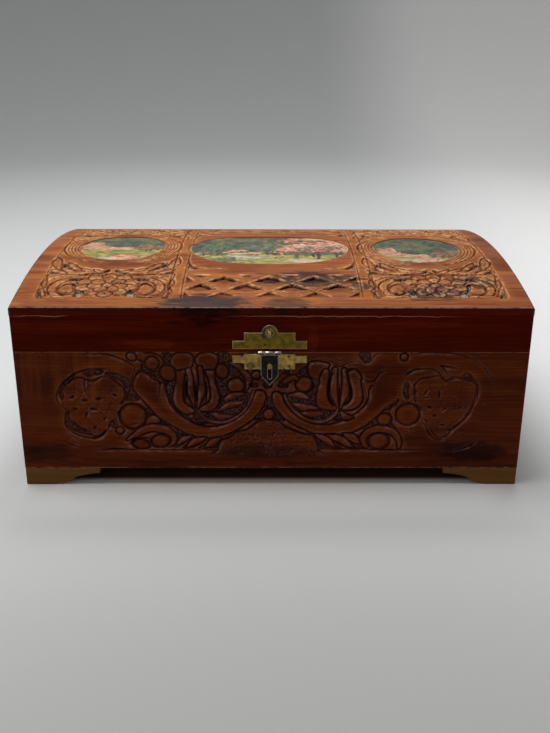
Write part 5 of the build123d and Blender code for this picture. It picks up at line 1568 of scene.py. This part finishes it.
def paintGround(centre, wide, tall, rng, horizon):
    # dark woods above the horizon, a bright field under it and an uneven, lit edge between them
    canvas = newPanel(centre - wide / 2 - 1, centre + wide / 2 + 1, -tall / 2 - 1, tall / 2 + 1, 0.4)
    canvas["paint"] = np.ones(canvas["x"].shape + (3,)) * (0.07, 0.08, 0.05)
    above, below = tall / 4 - horizon / 2, tall / 4 + horizon / 2
    across = (centre, wide / 2)
    dabs(canvas, rng, 1300, across, (horizon + above, above), 4.6, 3.4, tints["woods"], 60, 60)
    for _ in range(16):
        x, z = centre + rng.uniform(-0.5, 0.5) * wide, rng.uniform(horizon + 6, tall / 2)
        dabs(canvas, rng, 34, (x, rng.uniform(4, 9)), (z, 6), 3.0, 2.6, tints["leaves"], 60, 60, 0.6,
                gather=True)
    dabs(canvas, rng, 1300, across, (horizon - below, below), 4.4, 2.0, tints["meadow"], 0, 14)
    dabs(canvas, rng, 260, across, (horizon + 1.0, 3.5), 3.2, 2.4, tints["edge"], 70, 40)
    return canvas


def paintPond(centre, wide, tall):
    # the middle picture: a pond in a meadow, a bank of flowering bushes beside it and slim dark trees
    rng = np.random.default_rng(31)
    canvas = paintGround(centre, wide, tall, rng, -14)
    more = lambda *values, **named: dabs(canvas, rng, *values, **named)
    more(110, (-28, 24), (-13, 2.6), 5, 2.6, tints["peach"] + tints["edge"], 20, 40, 0.8)
    more(150, (-16, 17), (-22, 3.6), 8, 2.0, tints["water"], 0, 4, gather=True)
    more(22, (-14, 14), (-22, 3.0), 7, 1.2, tints["cream"], 0, 3, 0.6, gather=True)
    for x, low, high, count in [(-45, -13, 14, 60), (-40, -14, 24, 90), (-35.6, -13, 10, 50),
            (-3, -12, 30, 90), (2.4, -13, 20, 60)]:
        more(count, (x, 1.9), ((low + high) / 2, (high - low) / 2), 4.0, 1.7,
                tints["leaves"] + tints["woods"], 88, 14)
        more(4, (x, 0.3), (low - 1, 3), 6, 1.2, tints["bark"], 90, 4)
    for x, z, wideness, height, count in [(22, 2, 16, 15, 420), (40, 6, 15, 17, 480), (28, 26, 24, 10, 420),
                                          (10, -6, 9, 7, 130), (49, -6, 7, 8, 120), (-22, -8, 8, 5, 70)]:
        more(count, (x, wideness), (z, height), 3.0, 2.2, tints["coral"], 0, 90, gather=True)
        more(count // 7, (x, wideness), (z - 0.3 * height, height * 0.8), 3.4, 2.0, tints["woods"], 0, 60,
                gather=True)
        more(count // 5, (x, wideness), (z + 0.3 * height, height * 0.6), 2.6, 1.6, tints["peach"], 0, 90,
                gather=True)
    more(90, (32, 22), (-13, 2.6), 3.6, 3.0, tints["woods"] + tints["edge"], 60, 40)
    for x, lean in [(17, 80), (27.5, 96), (31, 78), (43, 92)]:
        more(7, (x, 0.5), (-17, 5), 9, 1.5, tints["bark"], lean, 5, 1.0)
    more(130, (26, 26), (-31, 4), 6, 1.8, tints["cream"] + tints["peach"], 4, 10, 0.7, gather=True)
    more(150, (-36, 24), (-29, 7), 3.4, 2.2, tints["edge"] + tints["leaves"], 30, 60, 0.7, gather=True)
    return canvas


def paintHills(centre, wide, tall, seed, horizon, dusk):
    # the side pictures: woods over a field, a bending path, bushes in flower and one rusty bush
    rng = np.random.default_rng(seed)
    canvas = paintGround(centre, wide, tall, rng, horizon)
    more = lambda count, x, *values, **named: dabs(canvas, rng, count, (centre + x[0], x[1]), *values,
            **named)
    more(90, (-10, 16), (horizon, 2.6), 5, 2.4, tints["peach"], 0, 12, 0.85)
    more(190, (17, 9), (horizon + 4, 9), 3.0, 2.4, tints["rust"], 0, 90, gather=True)
    more(8, (17, 3), (horizon - 4, 4), 6.0, 1.2, tints["bark"], 80, 20)
    more(110, (2, 14), (-27, 3.4), 6, 2.0, tints["cream"], 4, 10, 0.6, gather=True)
    for x, z, wideness, height, count in [(4, -25, 9, 4.5, 130), (-21, horizon + 9, 8, 10, 200),
            (-14, horizon + 3, 7, 4, 80)]:
        more(count, (x, wideness), (z, height), 3.0, 2.0, tints["coral"], 0, 90, gather=True)
        more(count // 4, (x, wideness), (z, height), 2.6, 1.6, tints["peach"], 0, 90, gather=True)
    canvas["paint"] *= dusk
    return canvas


pictures = {
    "left_picture": {"name": "leftPicture", "full": 2.1, "paint": lambda *size: paintHills(*size, 12, -4,
        0.9)},
    "middle_picture": {"name": "middlePicture", "full": 2.35, "paint": paintPond},
    "right_picture": {"name": "rightPicture", "full": 2.1, "paint": lambda *size: paintHills(*size, 27, -17,
        0.75)},
}


pictureFace = {"recess": 0.5, "brush": 0.05, "rounding": 30, "rim": (0.62, 0.50, 0.32), "gloss": 0.3,
               "fade": (0.30, 0.22, 0.12), "grit": (0.42, 0.36, 0.24)}


def printMaterial():
    material, t, shader = newMaterial("varnishedPrint")
    paint = t.node("Attribute", {"attribute_name": "paint"}).outputs["Color"]
    place = t.place()
    grit = t.noise(place, 1.6, 3.0, 0.6)
    faded = t.times(t.span(t.noise(place, 0.09, 3.0), 0.4, 0.7), 0.25)
    colour = t.blend(faded, paint, pictureFace["fade"])
    colour = t.blend(t.span(grit, 0.62, 0.8), colour, pictureFace["grit"])
    t.put(shader["Base Color"], colour)
    t.put(shader["Roughness"], t.span(grit, 0.3, 0.7, 0.38, 0.52))
    t.bump(shader, grit, 0.2, 0.00006)
    shader["Specular IOR Level"].default_value = pictureFace["gloss"]
    return material


printed = printMaterial()
for node, picture in pictures.items():
    low, high = (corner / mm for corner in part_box(node))
    centre, half = (low + high) / 2, (high - low) / 2
    canvas = picture["paint"](centre.x, half.x * 2, half.y * 2)
    piece = copyOfNode(node, picture["name"])
    x, y = canvas["x"], canvas["z"] + centre.y
    brush = soften(canvas["paint"].mean(-1), 1)
    height = domeHeight(y) - pictureFace["recess"] - carving["lift"] - pictureFace["brush"] * (1 - brush)
    face = np.stack([x, y, height], -1)
    cutToShape(piece, makeCutter(face, "Z", low.z - carving["overlap"]))
    points = nodePoints(piece) / mm
    dx, dy = (points[:, 0] - centre.x) / half.x, (points[:, 1] - centre.y) / half.y
    away = (np.abs(dx) ** picture["full"] + np.abs(dy) ** picture["full"]) ** (1 / picture["full"])
    colours = np.ones((len(points), 4))
    for channel in range(3):
        canvas["channel"] = canvas["paint"][..., channel]
        colours[:, channel] = sampled(canvas, "channel", points[:, 0], points[:, 1] - centre.y)
    # an uneven cream rim, widest along the near edge
    ragged = 0.35 * np.sin(points[:, 0] * 1.3) * np.sin(points[:, 0] * 0.41 + 1)
    rim = (1 - away) * half.y < 0.25 + 0.9 * np.clip(-dy, 0, 1) * (1 + ragged)
    colours[rim, :3] = pictureFace["rim"]
    attribute = piece.data.attributes.new("paint", "FLOAT_COLOR", "POINT")
    attribute.data.foreach_set("color", colours.astype(np.float32).ravel())
    finishPiece(piece, "lid", node, printed, pictureFace["rounding"])
    print("picture", picture["name"], "painted:", len(piece.data.polygons), "faces")
